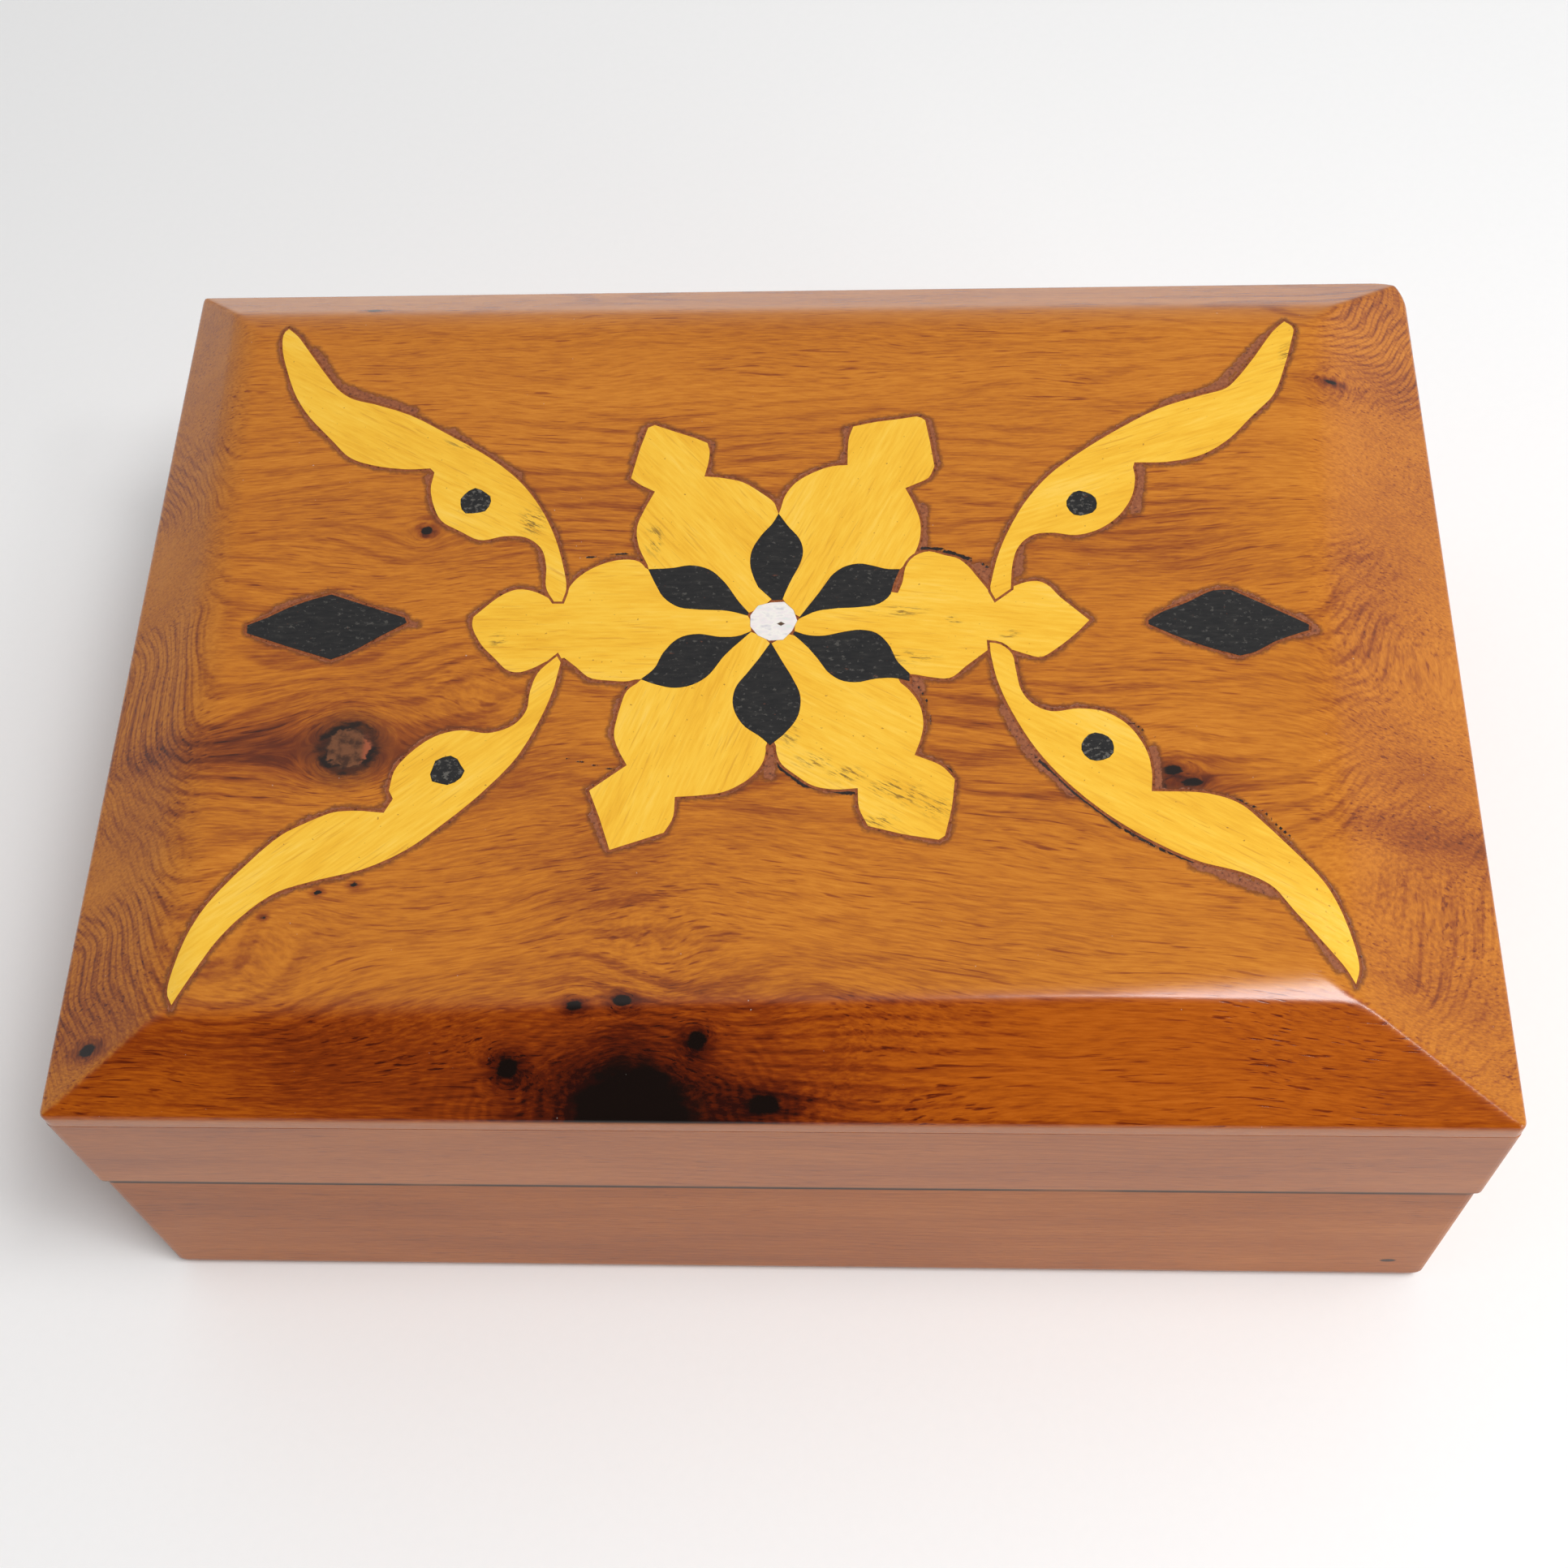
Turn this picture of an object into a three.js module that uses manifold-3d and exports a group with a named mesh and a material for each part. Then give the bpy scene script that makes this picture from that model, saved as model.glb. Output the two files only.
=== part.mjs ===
// A small hinged wooden box with a bevelled lid, inlaid with a flower of pale
// petals and black leaves around a shell disc, four pale scrolls and two black
// diamonds.  Millimetres, +Z up, +X to the right, -Y towards the front.  The
// origin is the middle of the underside.
//
// Two groups: the base, and the lid, which turns about the hinge pins that run
// along X in the top of the back board.

import * as THREE from "three";
import { mergeVertices } from "three/addons/utils/BufferGeometryUtils.js";
import Module from "manifold-3d";

const wasm = await Module();
wasm.setup();

// ---------------------------------------------------------------- dimensions

const LENGTH = 150; // lid, along X
const DEPTH = 110; // lid, along Y
const HEIGHT = 58; // floor to the flat of the lid
const SEAM_Z = 31; // height of the hinge axis and of the joint between base and lid
const SEAM_GAP = 0.2; // hairline left between base and lid
const WALL = 8; // boards of the base and rails of the lid
const BASE_INSET = 0.3; // the base is this much smaller than the lid on each side
const BASE_ARRIS = 2; // rounding around the bottom edge
const BASE_CORNERS = [1.2, 1.2, 2.5, 1.2]; // plan radii: front left, front right, back right, back left
const FLOOR_THICK = 5; // bottom panel

const PANEL_Z = 48; // underside of the bevelled lid panel
const EDGE_Z = 50.3; // top of the panel's upright edge, where the bevel starts
const LID_CORNERS = [1, 1, 4, 1]; // plan radii, same order as BASE_CORNERS
const RIDGE_RADIUS = 2.5; // plan radius of the ridge corners
const RIDGE_BLEND = 0.15; // part of the bevel's width over which the ridge is rounded
// Where the four mitres meet the flat of the lid: hand-planed, so no two alike.
const RIDGE = [
  [-61.4, -46.1],
  [56.8, -43.2],
  [62.5, 43.8],
  [-66.1, 44.7],
];

const INLAY_THICK = 2.5; // depth of every inlay below the flat of the lid
const GLUE_GAP = 0.3; // filler left around each inlay

const PIN_Y = 52.5; // hinge axis, along X at this Y and at SEAM_Z
const HINGE_CENTRES = [-45, 45];
const HINGE_LENGTH = 20;
const KNUCKLE_RADIUS = 1.5;
const KNUCKLE_GAP = 0.3;
const KNUCKLE_ROOM = 0.3; // air between a knuckle and the wood or the other leaf
const BORE_RADIUS = 0.8;
const PIN_RADIUS = 0.7;
const LEAF_THICK = 0.8;
const LEAF_WIDTH = 2.9; // flat plate, from its free edge to the knuckles' clearance
const LEAF_ROOM = 0.1; // air around a leaf in its recess
const STOP_ANGLE = 50.5; // each back arris is cut to this slope; they meet just past 100 degrees
const SCREW_SPACING = 12.4;
const SCREW_LENGTH = 5.2;
const SCREW_HEAD_RADIUS = 1.2;
const SCREW_HEAD_DEPTH = 0.6;
const SCREW_SHANK_RADIUS = 0.5;
const SCREW_ROOM = 0.06; // air around a screw in its leaf and board
const SLOT_WIDTH = 0.3;
const SLOT_DEPTH = 0.25;

const CURVE_STEP = 0.6; // spacing of the points taken along a curved outline
const FLATNESS = 0.02; // points closer than this to their chord are left out
const ROUND_SEGMENTS = 20; // sides of the hinge cylinders and screws
const CORNER_SEGMENTS = 5; // sides of a rounded corner
const MERGE_DISTANCE = 1e-5;
const MITRE_LIMIT = 0.5; // 1 + the cosine of the sharpest turn that keeps its full mitre

// ------------------------------------------------------------ inlay outlines
// Each outline is a list of stretches.  A stretch is a smooth curve through its
// points, or a straight cut when it has two, and corners fall where stretches
// meet.  Millimetres in the plane of the lid.

const PEARL = { x: -0.75, y: 0.4, radius: 2.6, facets: 11, waver: 0.035 };

const DOTS = {
  dot_upper_left: { x: -35.3, y: 16.9, radius: 1.75, facets: 15, waver: 0.05 },
  dot_upper_right: { x: 33.5, y: 16.0, radius: 1.7, facets: 15, waver: 0.03 },
  dot_lower_left: { x: -35.0, y: -18.5, radius: 1.75, facets: 13, waver: 0.06 },
  dot_lower_right: { x: 33.9, y: -15.7, radius: 1.7, facets: 15, waver: 0.02 },
};

// Black leaves; the first point of each is its tip at the shell disc.
const LEAVES = {
  leaf_top: [
    [[-0.1, 2.3], [0.4, 4], [1.1, 5.9], [2, 8], [2.3, 9.6], [1.9, 11.3], [0.5, 13.2], [-0.55, 14.85]],
    [[-0.55, 14.85], [-1.2, 13.5], [-2.4, 11.9], [-3.4, 9.8], [-3.5, 7.8], [-2.9, 5.7], [-1.9, 3.7],
      [-1.2, 2.3]],
  ],
  leaf_upper_left: [
    [[-3.1, 0.95], [-4.7, 3], [-6.3, 5.5], [-8, 7.2], [-10.1, 7.85], [-12.2, 7.5], [-14.9, 7.35]],
    [[-14.9, 7.35], [-14.1, 5.6], [-13, 3.6], [-11.3, 2.3], [-9, 1.95], [-5.8, 1.75], [-3.1, 0.95]],
  ],
  leaf_lower_left: [
    [[-3.1, -0.95], [-4.6, -1.6], [-6.5, -1.7], [-9, -1.3], [-11, -1.8], [-12.6, -3.6], [-13.5, -5.7],
      [-14.9, -7.1]],
    [[-14.9, -7.1], [-13.3, -7.75], [-11.3, -8.2], [-9.4, -7.85], [-7.7, -6.7], [-5.9, -4],
      [-3.1, -0.95]],
  ],
  leaf_bottom: [
    [[-0.95, -2.45], [-1.9, -4.1], [-3.2, -6.1], [-4.6, -8.3], [-4.75, -10.6], [-3.6, -12.9],
      [-1.8, -14.3], [-0.65, -15.4]],
    [[-0.65, -15.4], [0.9, -13.9], [2.2, -11.8], [2.4, -9.3], [1.6, -7.2], [0.4, -5], [-0.95, -2.45]],
  ],
  leaf_lower_right: [
    [[1.5, -0.95], [1.5, -1.4]],
    [[1.5, -1.4], [2.9, -2.8], [4.2, -4.5], [5.4, -6.3], [6.9, -7.35], [8.6, -7.55], [10.6, -7.1],
      [12.6, -7.05], [14.15, -7.45]],
    [[14.15, -7.45], [14.15, -6.5]],
    [[14.15, -6.5], [12.8, -4.9], [11.9, -2.8], [10.5, -1.25], [8.7, -0.85], [6.8, -1.15], [4.8, -1.6],
      [3, -1.5], [1.5, -0.95]],
  ],
  leaf_upper_right: [
    [[2, 0.65], [3.8, 1.6], [5.9, 2], [8.6, 2.15], [10.7, 2.55], [12, 3.7], [12.4, 5.2], [13.1, 7.15]],
    [[13.1, 7.15], [11.6, 7.2], [10.3, 7.6], [8.6, 7.95], [6.9, 7.5], [5.6, 6.4], [4.6, 4.7],
      [3.4, 2.8], [2, 0.65]],
  ],
};

// Pale scrolls, each with a thick body, a notch and a thin tail.
const SCROLLS = {
  scroll_upper_left: [
    [[-60.5, 43], [-59.1, 41.6], [-57.2, 38.9], [-54.9, 35.6], [-53.1, 33.3], [-51.3, 32],
      [-48.2, 31.05], [-44, 29.4], [-39.4, 26.6], [-34.3, 23.2], [-30.7, 20], [-28, 16.4],
      [-25.9, 12.2], [-24.5, 7.8], [-23.95, 4.8], [-24.3, 3.1]],
    [[-24.3, 3.1], [-25.2, 3.1]],
    [[-25.2, 3.1], [-26.2, 4.9], [-26.45, 8], [-27.2, 10.3], [-29, 11.8], [-31.4, 12.05], [-34.2, 11.5],
      [-36.7, 12.8], [-38.9, 14.2], [-40.1, 16.5], [-40.65, 18.9], [-40.45, 21.1]],
    [[-40.45, 21.1], [-41, 21.7]],
    [[-41, 21.7], [-43.8, 21.6], [-47.5, 22.15], [-50.5, 23.3], [-53.2, 26.1], [-56.3, 29.6],
      [-58.2, 32.6], [-59.8, 36.5], [-60.8, 39.8], [-60.95, 42.2], [-60.5, 43]],
  ],
  scroll_upper_right: [
    [[58.3, 42.35], [56.8, 40.7], [54.3, 36.8], [52.1, 33.7], [50.7, 32.25], [47.9, 31.3], [43, 29.45],
      [39.2, 27.2], [34, 23.5], [30.1, 20.1], [27.3, 16.4], [25.3, 12.5], [24, 9], [23.3, 6],
      [23.05, 4.4], [23.6, 3.1]],
    [[23.6, 3.1], [25.3, 4.5]],
    [[25.3, 4.5], [25.6, 8], [26.4, 10.3], [28, 11.75], [30.2, 12], [32.6, 11.65], [35.2, 12.4],
      [37.5, 14.2], [39.1, 16.8], [39.65, 19.4], [39.5, 21]],
    [[39.5, 21], [39.7, 21.7]],
    [[39.7, 21.7], [43.5, 21.75], [47.3, 22.7], [50.4, 24.8], [53.4, 28.2], [56.1, 31.3], [57.7, 35.4],
      [58.8, 39.2], [59.2, 41.3], [58.3, 42.35]],
  ],
  scroll_lower_left: [
    [[-60.4, -45.55], [-61.1, -44.2], [-60.8, -40.9], [-59.8, -37.3], [-58.3, -34.2], [-55.2, -30],
      [-51.8, -26.3], [-49.3, -24.8], [-46.6, -23.55], [-44, -23.35], [-41.2, -23.6]],
    [[-41.2, -23.6], [-40.4, -21.9]],
    [[-40.4, -21.9], [-40.95, -20.9]],
    [[-40.95, -20.9], [-40.6, -18.4], [-38.9, -16], [-36.6, -14.2], [-34, -13.5], [-30.9, -13.85],
      [-28.3, -12.8], [-27.1, -11], [-26.9, -8.6], [-26.2, -6.2], [-24.3, -4.1]],
    [[-24.3, -4.1], [-23.85, -4.9]],
    [[-23.85, -4.9], [-24.4, -8.4], [-25.6, -12.3], [-27.7, -16.9], [-30.6, -20.7], [-34.4, -24.6],
      [-38.5, -28.1], [-42.5, -30.2], [-47.5, -31.6], [-51.4, -33], [-54.5, -35.6], [-56.7, -38.4],
      [-58.6, -42], [-60.4, -45.55]],
  ],
  scroll_lower_right: [
    [[22.85, -2.55], [22.9, -3.7], [23.6, -7.5], [25.2, -11.7], [27.7, -16.3], [30.8, -20.2],
      [35, -24.1], [39.65, -27.25], [43.5, -29.2], [48.2, -30.6], [50.8, -32.1], [52.8, -34.9],
      [55.2, -38.1], [57.4, -41], [58.2, -42.5]],
    [[58.2, -42.5], [58.75, -40.6], [57.9, -35.9], [56.2, -31.8], [53.5, -28.3], [50.5, -24.8],
      [48.2, -22.5], [45, -21.3], [39.25, -21.05]],
    [[39.25, -21.05], [39.4, -18.5], [38.9, -15.9], [37.2, -13], [34.9, -11.4], [32.2, -10.95],
      [29.2, -11.3], [27.3, -10.4], [26.1, -8.7], [25.6, -6.2], [25.2, -4], [24, -2.8], [22.85, -2.55]],
  ],
};

// Free edges of the pale petals, anticlockwise.  The rest of each petal's edge
// runs along its two leaves, so it is cut from those.
const PETALS = {
  petal_right: {
    leaves: ["leaf_lower_right", "leaf_upper_right"],
    edge: [
      [[14.5, -6.55], [16.4, -6.95], [18.5, -7.05], [20.4, -5.4], [22.75, -3.4]],
      [[22.75, -3.4], [25.3, -3.5]],
      [[25.3, -3.5], [27, -4.15], [28.3, -4.45], [30.2, -3.2], [32.3, -1.3], [33.7, 0.3]],
      [[33.7, 0.3], [32, 2], [30.6, 3.4], [29.5, 4.8], [28.4, 5.45], [27, 5.35], [25.4, 4.7]],
      [[25.4, 4.7], [22.95, 4.1]],
      [[22.95, 4.1], [21.7, 6], [20.6, 7.6], [19.5, 8.6], [18, 9.05], [16.3, 9.55], [14.7, 8.9],
        [13.8, 7.6], [13.4, 5.4], [12.9, 4]],
    ],
  },
  petal_upper_right: {
    leaves: ["leaf_upper_right", "leaf_top"],
    edge: [
      [[13.4, 7.3], [14.5, 8.8], [15.3, 11], [15.4, 13.6], [14.7, 16.1], [13.73, 18.33]],
      [[13.73, 18.33], [15.2, 19.05], [16.4, 19.8], [17.05, 21.4]],
      [[17.05, 21.4], [16.6, 24.7], [16.05, 28]],
      [[16.05, 28], [15.3, 28.55], [13.5, 28.3], [10.4, 27.85], [7.75, 27.2]],
      [[7.75, 27.2], [7.25, 25.4], [7.15, 21.65]],
      [[7.15, 21.65], [5.4, 21.5], [3.2, 20.6], [1.2, 19.1], [0.1, 17.3], [-0.4, 15.2]],
    ],
  },
  petal_upper_left: {
    leaves: ["leaf_top", "leaf_upper_left"],
    edge: [
      [[-0.7, 15.2], [-1.1, 16.4], [-2.6, 17.8], [-4.7, 19.3], [-7, 19.95], [-9.2, 20.2]],
      [[-9.2, 20.2], [-8.8, 22.3], [-8.75, 23.9], [-9.05, 25]],
      [[-9.05, 25], [-10.4, 25.7], [-13.4, 26.9], [-15.3, 27.7]],
      [[-15.3, 27.7], [-16.05, 27.3]],
      [[-16.05, 27.3], [-16.9, 23.9], [-17.6, 20.05]],
      [[-17.6, 20.05], [-16.4, 19.05], [-14.75, 18.12]],
      [[-14.75, 18.12], [-15.8, 15.6], [-16.5, 13.2], [-16.2, 10.6], [-14.9, 7.7]],
    ],
  },
  petal_left: {
    leaves: ["leaf_upper_left", "leaf_lower_left"],
    edge: [
      [[-15.2, 7.5], [-16, 8.4], [-17.6, 8.7], [-20, 8.15], [-22.2, 6.8], [-23.5, 5.2], [-24, 3.4]],
      [[-24, 3.4], [-25.6, 3.4]],
      [[-25.6, 3.4], [-27.3, 4.35], [-29.3, 4.75], [-31.2, 3.9], [-34, 1.1]],
      [[-34, 1.1], [-34.05, 0], [-32.9, -2.4], [-31.1, -4.4], [-29.6, -5.9], [-28.3, -6.15],
        [-26.9, -5.65], [-25.5, -4.8]],
      [[-25.5, -4.8], [-23.5, -4.3]],
      [[-23.5, -4.3], [-22.1, -5.5], [-20.5, -6.9], [-18.3, -7.25], [-16.4, -7.35], [-15, -6.95]],
    ],
  },
  petal_lower_left: {
    leaves: ["leaf_lower_left", "leaf_bottom"],
    edge: [
      [[-15, -7.4], [-16.3, -8.5], [-16.9, -10.4], [-17.4, -14.1], [-16.8, -16], [-15.8, -17.85]],
      [[-15.8, -17.85], [-17.5, -19.2], [-19.6, -20.93]],
      [[-19.6, -20.93], [-18.3, -24.2], [-17, -27.97]],
      [[-17, -27.97], [-14.1, -26.9], [-11.45, -25.95]],
      [[-11.45, -25.95], [-10.6, -24.2], [-10.5, -21.68]],
      [[-10.5, -21.68], [-7.8, -21.5], [-5.3, -21.05], [-2.9, -19.6], [-1.5, -17.8], [-1.1, -16.2],
        [-1.2, -15]],
    ],
  },
  petal_lower_right: {
    leaves: ["leaf_bottom", "leaf_lower_right"],
    edge: [
      [[-0.05, -15], [0.05, -16.3], [0.6, -17.7], [2.2, -19.1], [4, -20.35], [6.3, -20.8],
        [8.7, -20.65]],
      [[8.7, -20.65], [8.85, -23], [9.8, -25.15]],
      [[9.8, -25.15], [13.4, -26.1], [17.1, -26.75]],
      [[17.1, -26.75], [17.75, -26.3]],
      [[17.75, -26.3], [18.5, -22.9], [18.85, -19.6]],
      [[18.85, -19.6], [17.5, -18], [14.65, -16.65]],
      [[14.65, -16.65], [15.3, -14.7], [15.6, -12.7], [15.2, -10.4], [14.2, -8.7], [12.9, -7.4]],
    ],
  },
};

const DIAMONDS = {
  diamond_left: [
    [[-59.25, 0.15], [-57.2, 1.1], [-55, 2.4], [-52.2, 3.6], [-50.3, 4.2]],
    [[-50.3, 4.2], [-46, 2.6], [-41.7, 1.05]],
    [[-41.7, 1.05], [-41.4, 0.4]],
    [[-41.4, 0.4], [-44.5, -1.6], [-47.3, -3.5], [-49.3, -4.4]],
    [[-49.3, -4.4], [-54, -2.8], [-59.15, -0.9]],
    [[-59.15, -0.9], [-59.25, 0.15]],
  ],
  diamond_right: [
    [[40.1, 0.25], [41.6, 1.3], [44.3, 2.5], [47.2, 4.05], [49.2, 4.2]],
    [[49.2, 4.2], [52.6, 2.3], [57.3, -0.4]],
    [[57.3, -0.4], [57.2, -1.1]],
    [[57.2, -1.1], [53.6, -2.5], [51.2, -3.9], [49.6, -4.35]],
    [[49.6, -4.35], [46.4, -3.3], [43, -1.8], [40.1, -0.25]],
    [[40.1, -0.25], [40.1, 0.25]],
  ],
};

// ------------------------------------------------------------------ materials

function finish(color, roughness, metalness = 0) {
  return new THREE.MeshStandardMaterial({ color, roughness, metalness });
}

const THUYA = { color: 0xb06a26, roughness: 0.38 };
const THUYA_EDGE = { color: 0xa4724f, roughness: 0.42 };
const BARE_THUYA = { color: 0xb98a58, roughness: 0.7 };
const LEMONWOOD = { color: 0xf6bf4a, roughness: 0.4 };
const EBONY = { color: 0x2e2b2a, roughness: 0.42 };
const SHELL = { color: 0xe9e6ee, roughness: 0.25 };
const BRASS = { color: 0xb9933f, roughness: 0.35, metalness: 1 };

// ------------------------------------------------------------------- solids

function solid(geometry) {
  const bare = geometry.clone();
  bare.deleteAttribute("normal");
  bare.deleteAttribute("uv");
  const merged = mergeVertices(bare, MERGE_DISTANCE);
  const triVerts = [];
  for (let i = 0; i < merged.index.count; i += 3) {
    const corners = [0, 1, 2].map((k) => merged.index.getX(i + k));
    if (new Set(corners).size === 3) triVerts.push(...corners);
  }
  return new wasm.Manifold(new wasm.Mesh({
    numProp: 3,
    vertProperties: new Float32Array(merged.attributes.position.array),
    triVerts: new Uint32Array(triVerts),
  }));
}

function geometryOf(body) {
  const { vertProperties, triVerts, numProp } = body.getMesh();
  const positions = new Float32Array((vertProperties.length / numProp) * 3);
  for (let v = 0; v < positions.length / 3; v += 1) {
    for (let k = 0; k < 3; k += 1) positions[3 * v + k] = vertProperties[numProp * v + k];
  }
  const geometry = new THREE.BufferGeometry();
  geometry.setAttribute("position", new THREE.BufferAttribute(positions, 3));
  geometry.setIndex(new THREE.BufferAttribute(new Uint32Array(triVerts), 1));
  geometry.computeVertexNormals();
  return geometry;
}

function block([x0, x1], [y0, y1], [z0, z1]) {
  const box = new THREE.BoxGeometry(x1 - x0, y1 - y0, z1 - z0);
  return solid(box.translate((x0 + x1) / 2, (y0 + y1) / 2, (z0 + z1) / 2));
}

// An outline in the XY plane, pushed up from z0 to z1.
function prism(points, z0, z1) {
  const shape = new THREE.Shape(points.map(([x, y]) => new THREE.Vector2(x, y)));
  const geometry = new THREE.ExtrudeGeometry(shape, { depth: z1 - z0, bevelEnabled: false });
  return solid(geometry.translate(0, 0, z0));
}

// An outline in the YZ plane, pushed along X from x0 to x1.
function prismAlongX(points, x0, x1) {
  const shape = new THREE.Shape(points.map(([y, z]) => new THREE.Vector2(y, z)));
  const geometry = new THREE.ExtrudeGeometry(shape, { depth: x1 - x0, bevelEnabled: false });
  const cyclic = new THREE.Matrix4().set(0, 0, 1, x0, 1, 0, 0, 0, 0, 1, 0, 0, 0, 0, 0, 1);
  return solid(geometry.applyMatrix4(cyclic));
}

// A cylinder on the hinge axis.
function barrel(radius, x0, x1) {
  const geometry = new THREE.CylinderGeometry(radius, radius, x1 - x0, ROUND_SEGMENTS);
  geometry.rotateZ(Math.PI / 2).translate((x0 + x1) / 2, PIN_Y, SEAM_Z);
  return solid(geometry);
}

// A convex body through rings of equal point counts, from the lowest ring up.
function loft(rings) {
  const count = rings[0].length;
  const positions = rings.flat(2);
  const index = [];
  for (let r = 0; r + 1 < rings.length; r += 1) {
    for (let i = 0; i < count; i += 1) {
      const a = r * count + i;
      const b = r * count + ((i + 1) % count);
      index.push(a, b, b + count, a, b + count, a + count);
    }
  }
  const top = (rings.length - 1) * count;
  for (let i = 1; i + 1 < count; i += 1) {
    index.push(0, i + 1, i);
    index.push(top, top + i, top + i + 1);
  }
  const geometry = new THREE.BufferGeometry();
  geometry.setAttribute("position", new THREE.Float32BufferAttribute(positions, 3));
  geometry.setIndex(index);
  return solid(geometry);
}

// A four-cornered ring at height z with each corner rounded by its own radius.
function roundedRing(corners, radii, z) {
  const points = [];
  corners.forEach(([x, y], i) => {
    const corner = new THREE.Vector2(x, y);
    const before = new THREE.Vector2(...corners[(i + 3) % 4]);
    const after = new THREE.Vector2(...corners[(i + 1) % 4]);
    const from = corner.clone().add(before.sub(corner).setLength(radii[i]));
    const to = corner.clone().add(after.sub(corner).setLength(radii[i]));
    const bend = new THREE.QuadraticBezierCurve(from, corner, to);
    for (const p of bend.getPoints(CORNER_SEGMENTS)) points.push([p.x, p.y, z]);
  });
  return points;
}

const rectangle = (x, y) => [[-x, -y], [x, -y], [x, y], [-x, y]];

// ------------------------------------------------------------------ outlines

function area(points) {
  return points.reduce((sum, [x, y], i) => {
    const [nx, ny] = points[(i + 1) % points.length];
    return sum + (x * ny - nx * y) / 2;
  }, 0);
}

// Drops the points that lie within FLATNESS of the chord they stand on.
function thin(points) {
  if (points.length < 3) return points;
  const [a, b] = [points[0], points.at(-1)];
  const chord = Math.hypot(b[0] - a[0], b[1] - a[1]);
  let worst = 0;
  let at = 0;
  points.forEach(([x, y], i) => {
    const away = Math.abs((b[0] - a[0]) * (a[1] - y) - (a[0] - x) * (b[1] - a[1])) / chord;
    if (away > worst) [worst, at] = [away, i];
  });
  if (worst < FLATNESS) return [a, b];
  return [...thin(points.slice(0, at + 1)).slice(0, -1), ...thin(points.slice(at))];
}

function stretchPoints(points) {
  if (points.length === 2) return points;
  const knots = points.map(([x, y]) => new THREE.Vector3(x, y, 0));
  const curve = new THREE.CatmullRomCurve3(knots, false, "centripetal");
  const steps = Math.ceil(curve.getLength() / CURVE_STEP);
  return thin(curve.getSpacedPoints(steps).map(({ x, y }) => [x, y]));
}

function outlineOf(stretches) {
  const points = stretches.flatMap((stretch) => stretchPoints(stretch).slice(0, -1));
  return area(points) > 0 ? points : points.reverse();
}

// A hand-cut disc: facets on a circle whose radius wavers.
function discOutline({ x, y, radius, facets, waver }) {
  return Array.from({ length: facets }, (_, i) => {
    const angle = (2 * Math.PI * i) / facets;
    const r = radius * (1 + waver * (Math.sin(3 * angle + x) + Math.cos(5 * angle + y)));
    return [x + r * Math.cos(angle), y + r * Math.sin(angle)];
  });
}

// Moves an anticlockwise outline outwards, with mitred corners.
function grown(points, distance) {
  const count = points.length;
  return points.map(([x, y], i) => {
    const [px, py] = points[(i + count - 1) % count];
    const [nx, ny] = points[(i + 1) % count];
    const a = new THREE.Vector2(y - py, px - x).normalize();
    const b = new THREE.Vector2(ny - y, x - nx).normalize();
    const mitre = a.clone().add(b).divideScalar(Math.max(1 + a.dot(b), MITRE_LIMIT));
    return [x + distance * mitre.x, y + distance * mitre.y];
  });
}

// A petal's outline: out along one leaf, around the free edge, back along the
// other leaf to the shell disc.  The parts inside the leaves are cut away.
function petalOutline({ leaves, edge }) {
  const [first, second] = leaves.map((name) => {
    const points = LEAVES[name].flat();
    const heart = [0, 1].map((k) => points.reduce((sum, p) => sum + p[k], 0) / points.length);
    return { tip: points[0], heart };
  });
  const free = outlineOf([...edge, [edge.at(-1).at(-1), edge[0][0]]]);
  return [[PEARL.x, PEARL.y], first.tip, first.heart, ...free, second.heart, second.tip];
}

// --------------------------------------------------------------------- boards

const lidX = LENGTH / 2;
const lidY = DEPTH / 2;
const baseX = lidX - BASE_INSET;
const baseY = lidY - BASE_INSET;
const baseTop = SEAM_Z - SEAM_GAP / 2;
const lidBottom = SEAM_Z + SEAM_GAP / 2;

// Four boards mitred at the corners, trimmed to the outer form of the box and
// planed off behind the hinge axis.
function mitredBoards(x, y, z0, z1, form, up) {
  const outer = rectangle(x, y);
  const inner = rectangle(x - WALL, y - WALL);
  const planed = form.subtract(stopWedge(up));
  return ["front", "right", "back", "left"].map((side, i) => {
    const j = (i + 1) % 4;
    return { side, body: prism([outer[i], outer[j], inner[j], inner[i]], z0, z1).intersect(planed) };
  });
}

function baseForm() {
  const rings = Array.from({ length: CORNER_SEGMENTS }, (_, i) => {
    const angle = (Math.PI / 2) * (i / (CORNER_SEGMENTS - 1));
    const inset = BASE_ARRIS * (1 - Math.sin(angle));
    const z = BASE_ARRIS * (1 - Math.cos(angle));
    return roundedRing(rectangle(baseX - inset, baseY - inset), BASE_CORNERS, z);
  });
  return loft([...rings, roundedRing(rectangle(baseX, baseY), BASE_CORNERS, baseTop)]);
}

function lidRailForm() {
  return loft([lidBottom, PANEL_Z].map((z) => roundedRing(rectangle(lidX, lidY), LID_CORNERS, z)));
}

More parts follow.
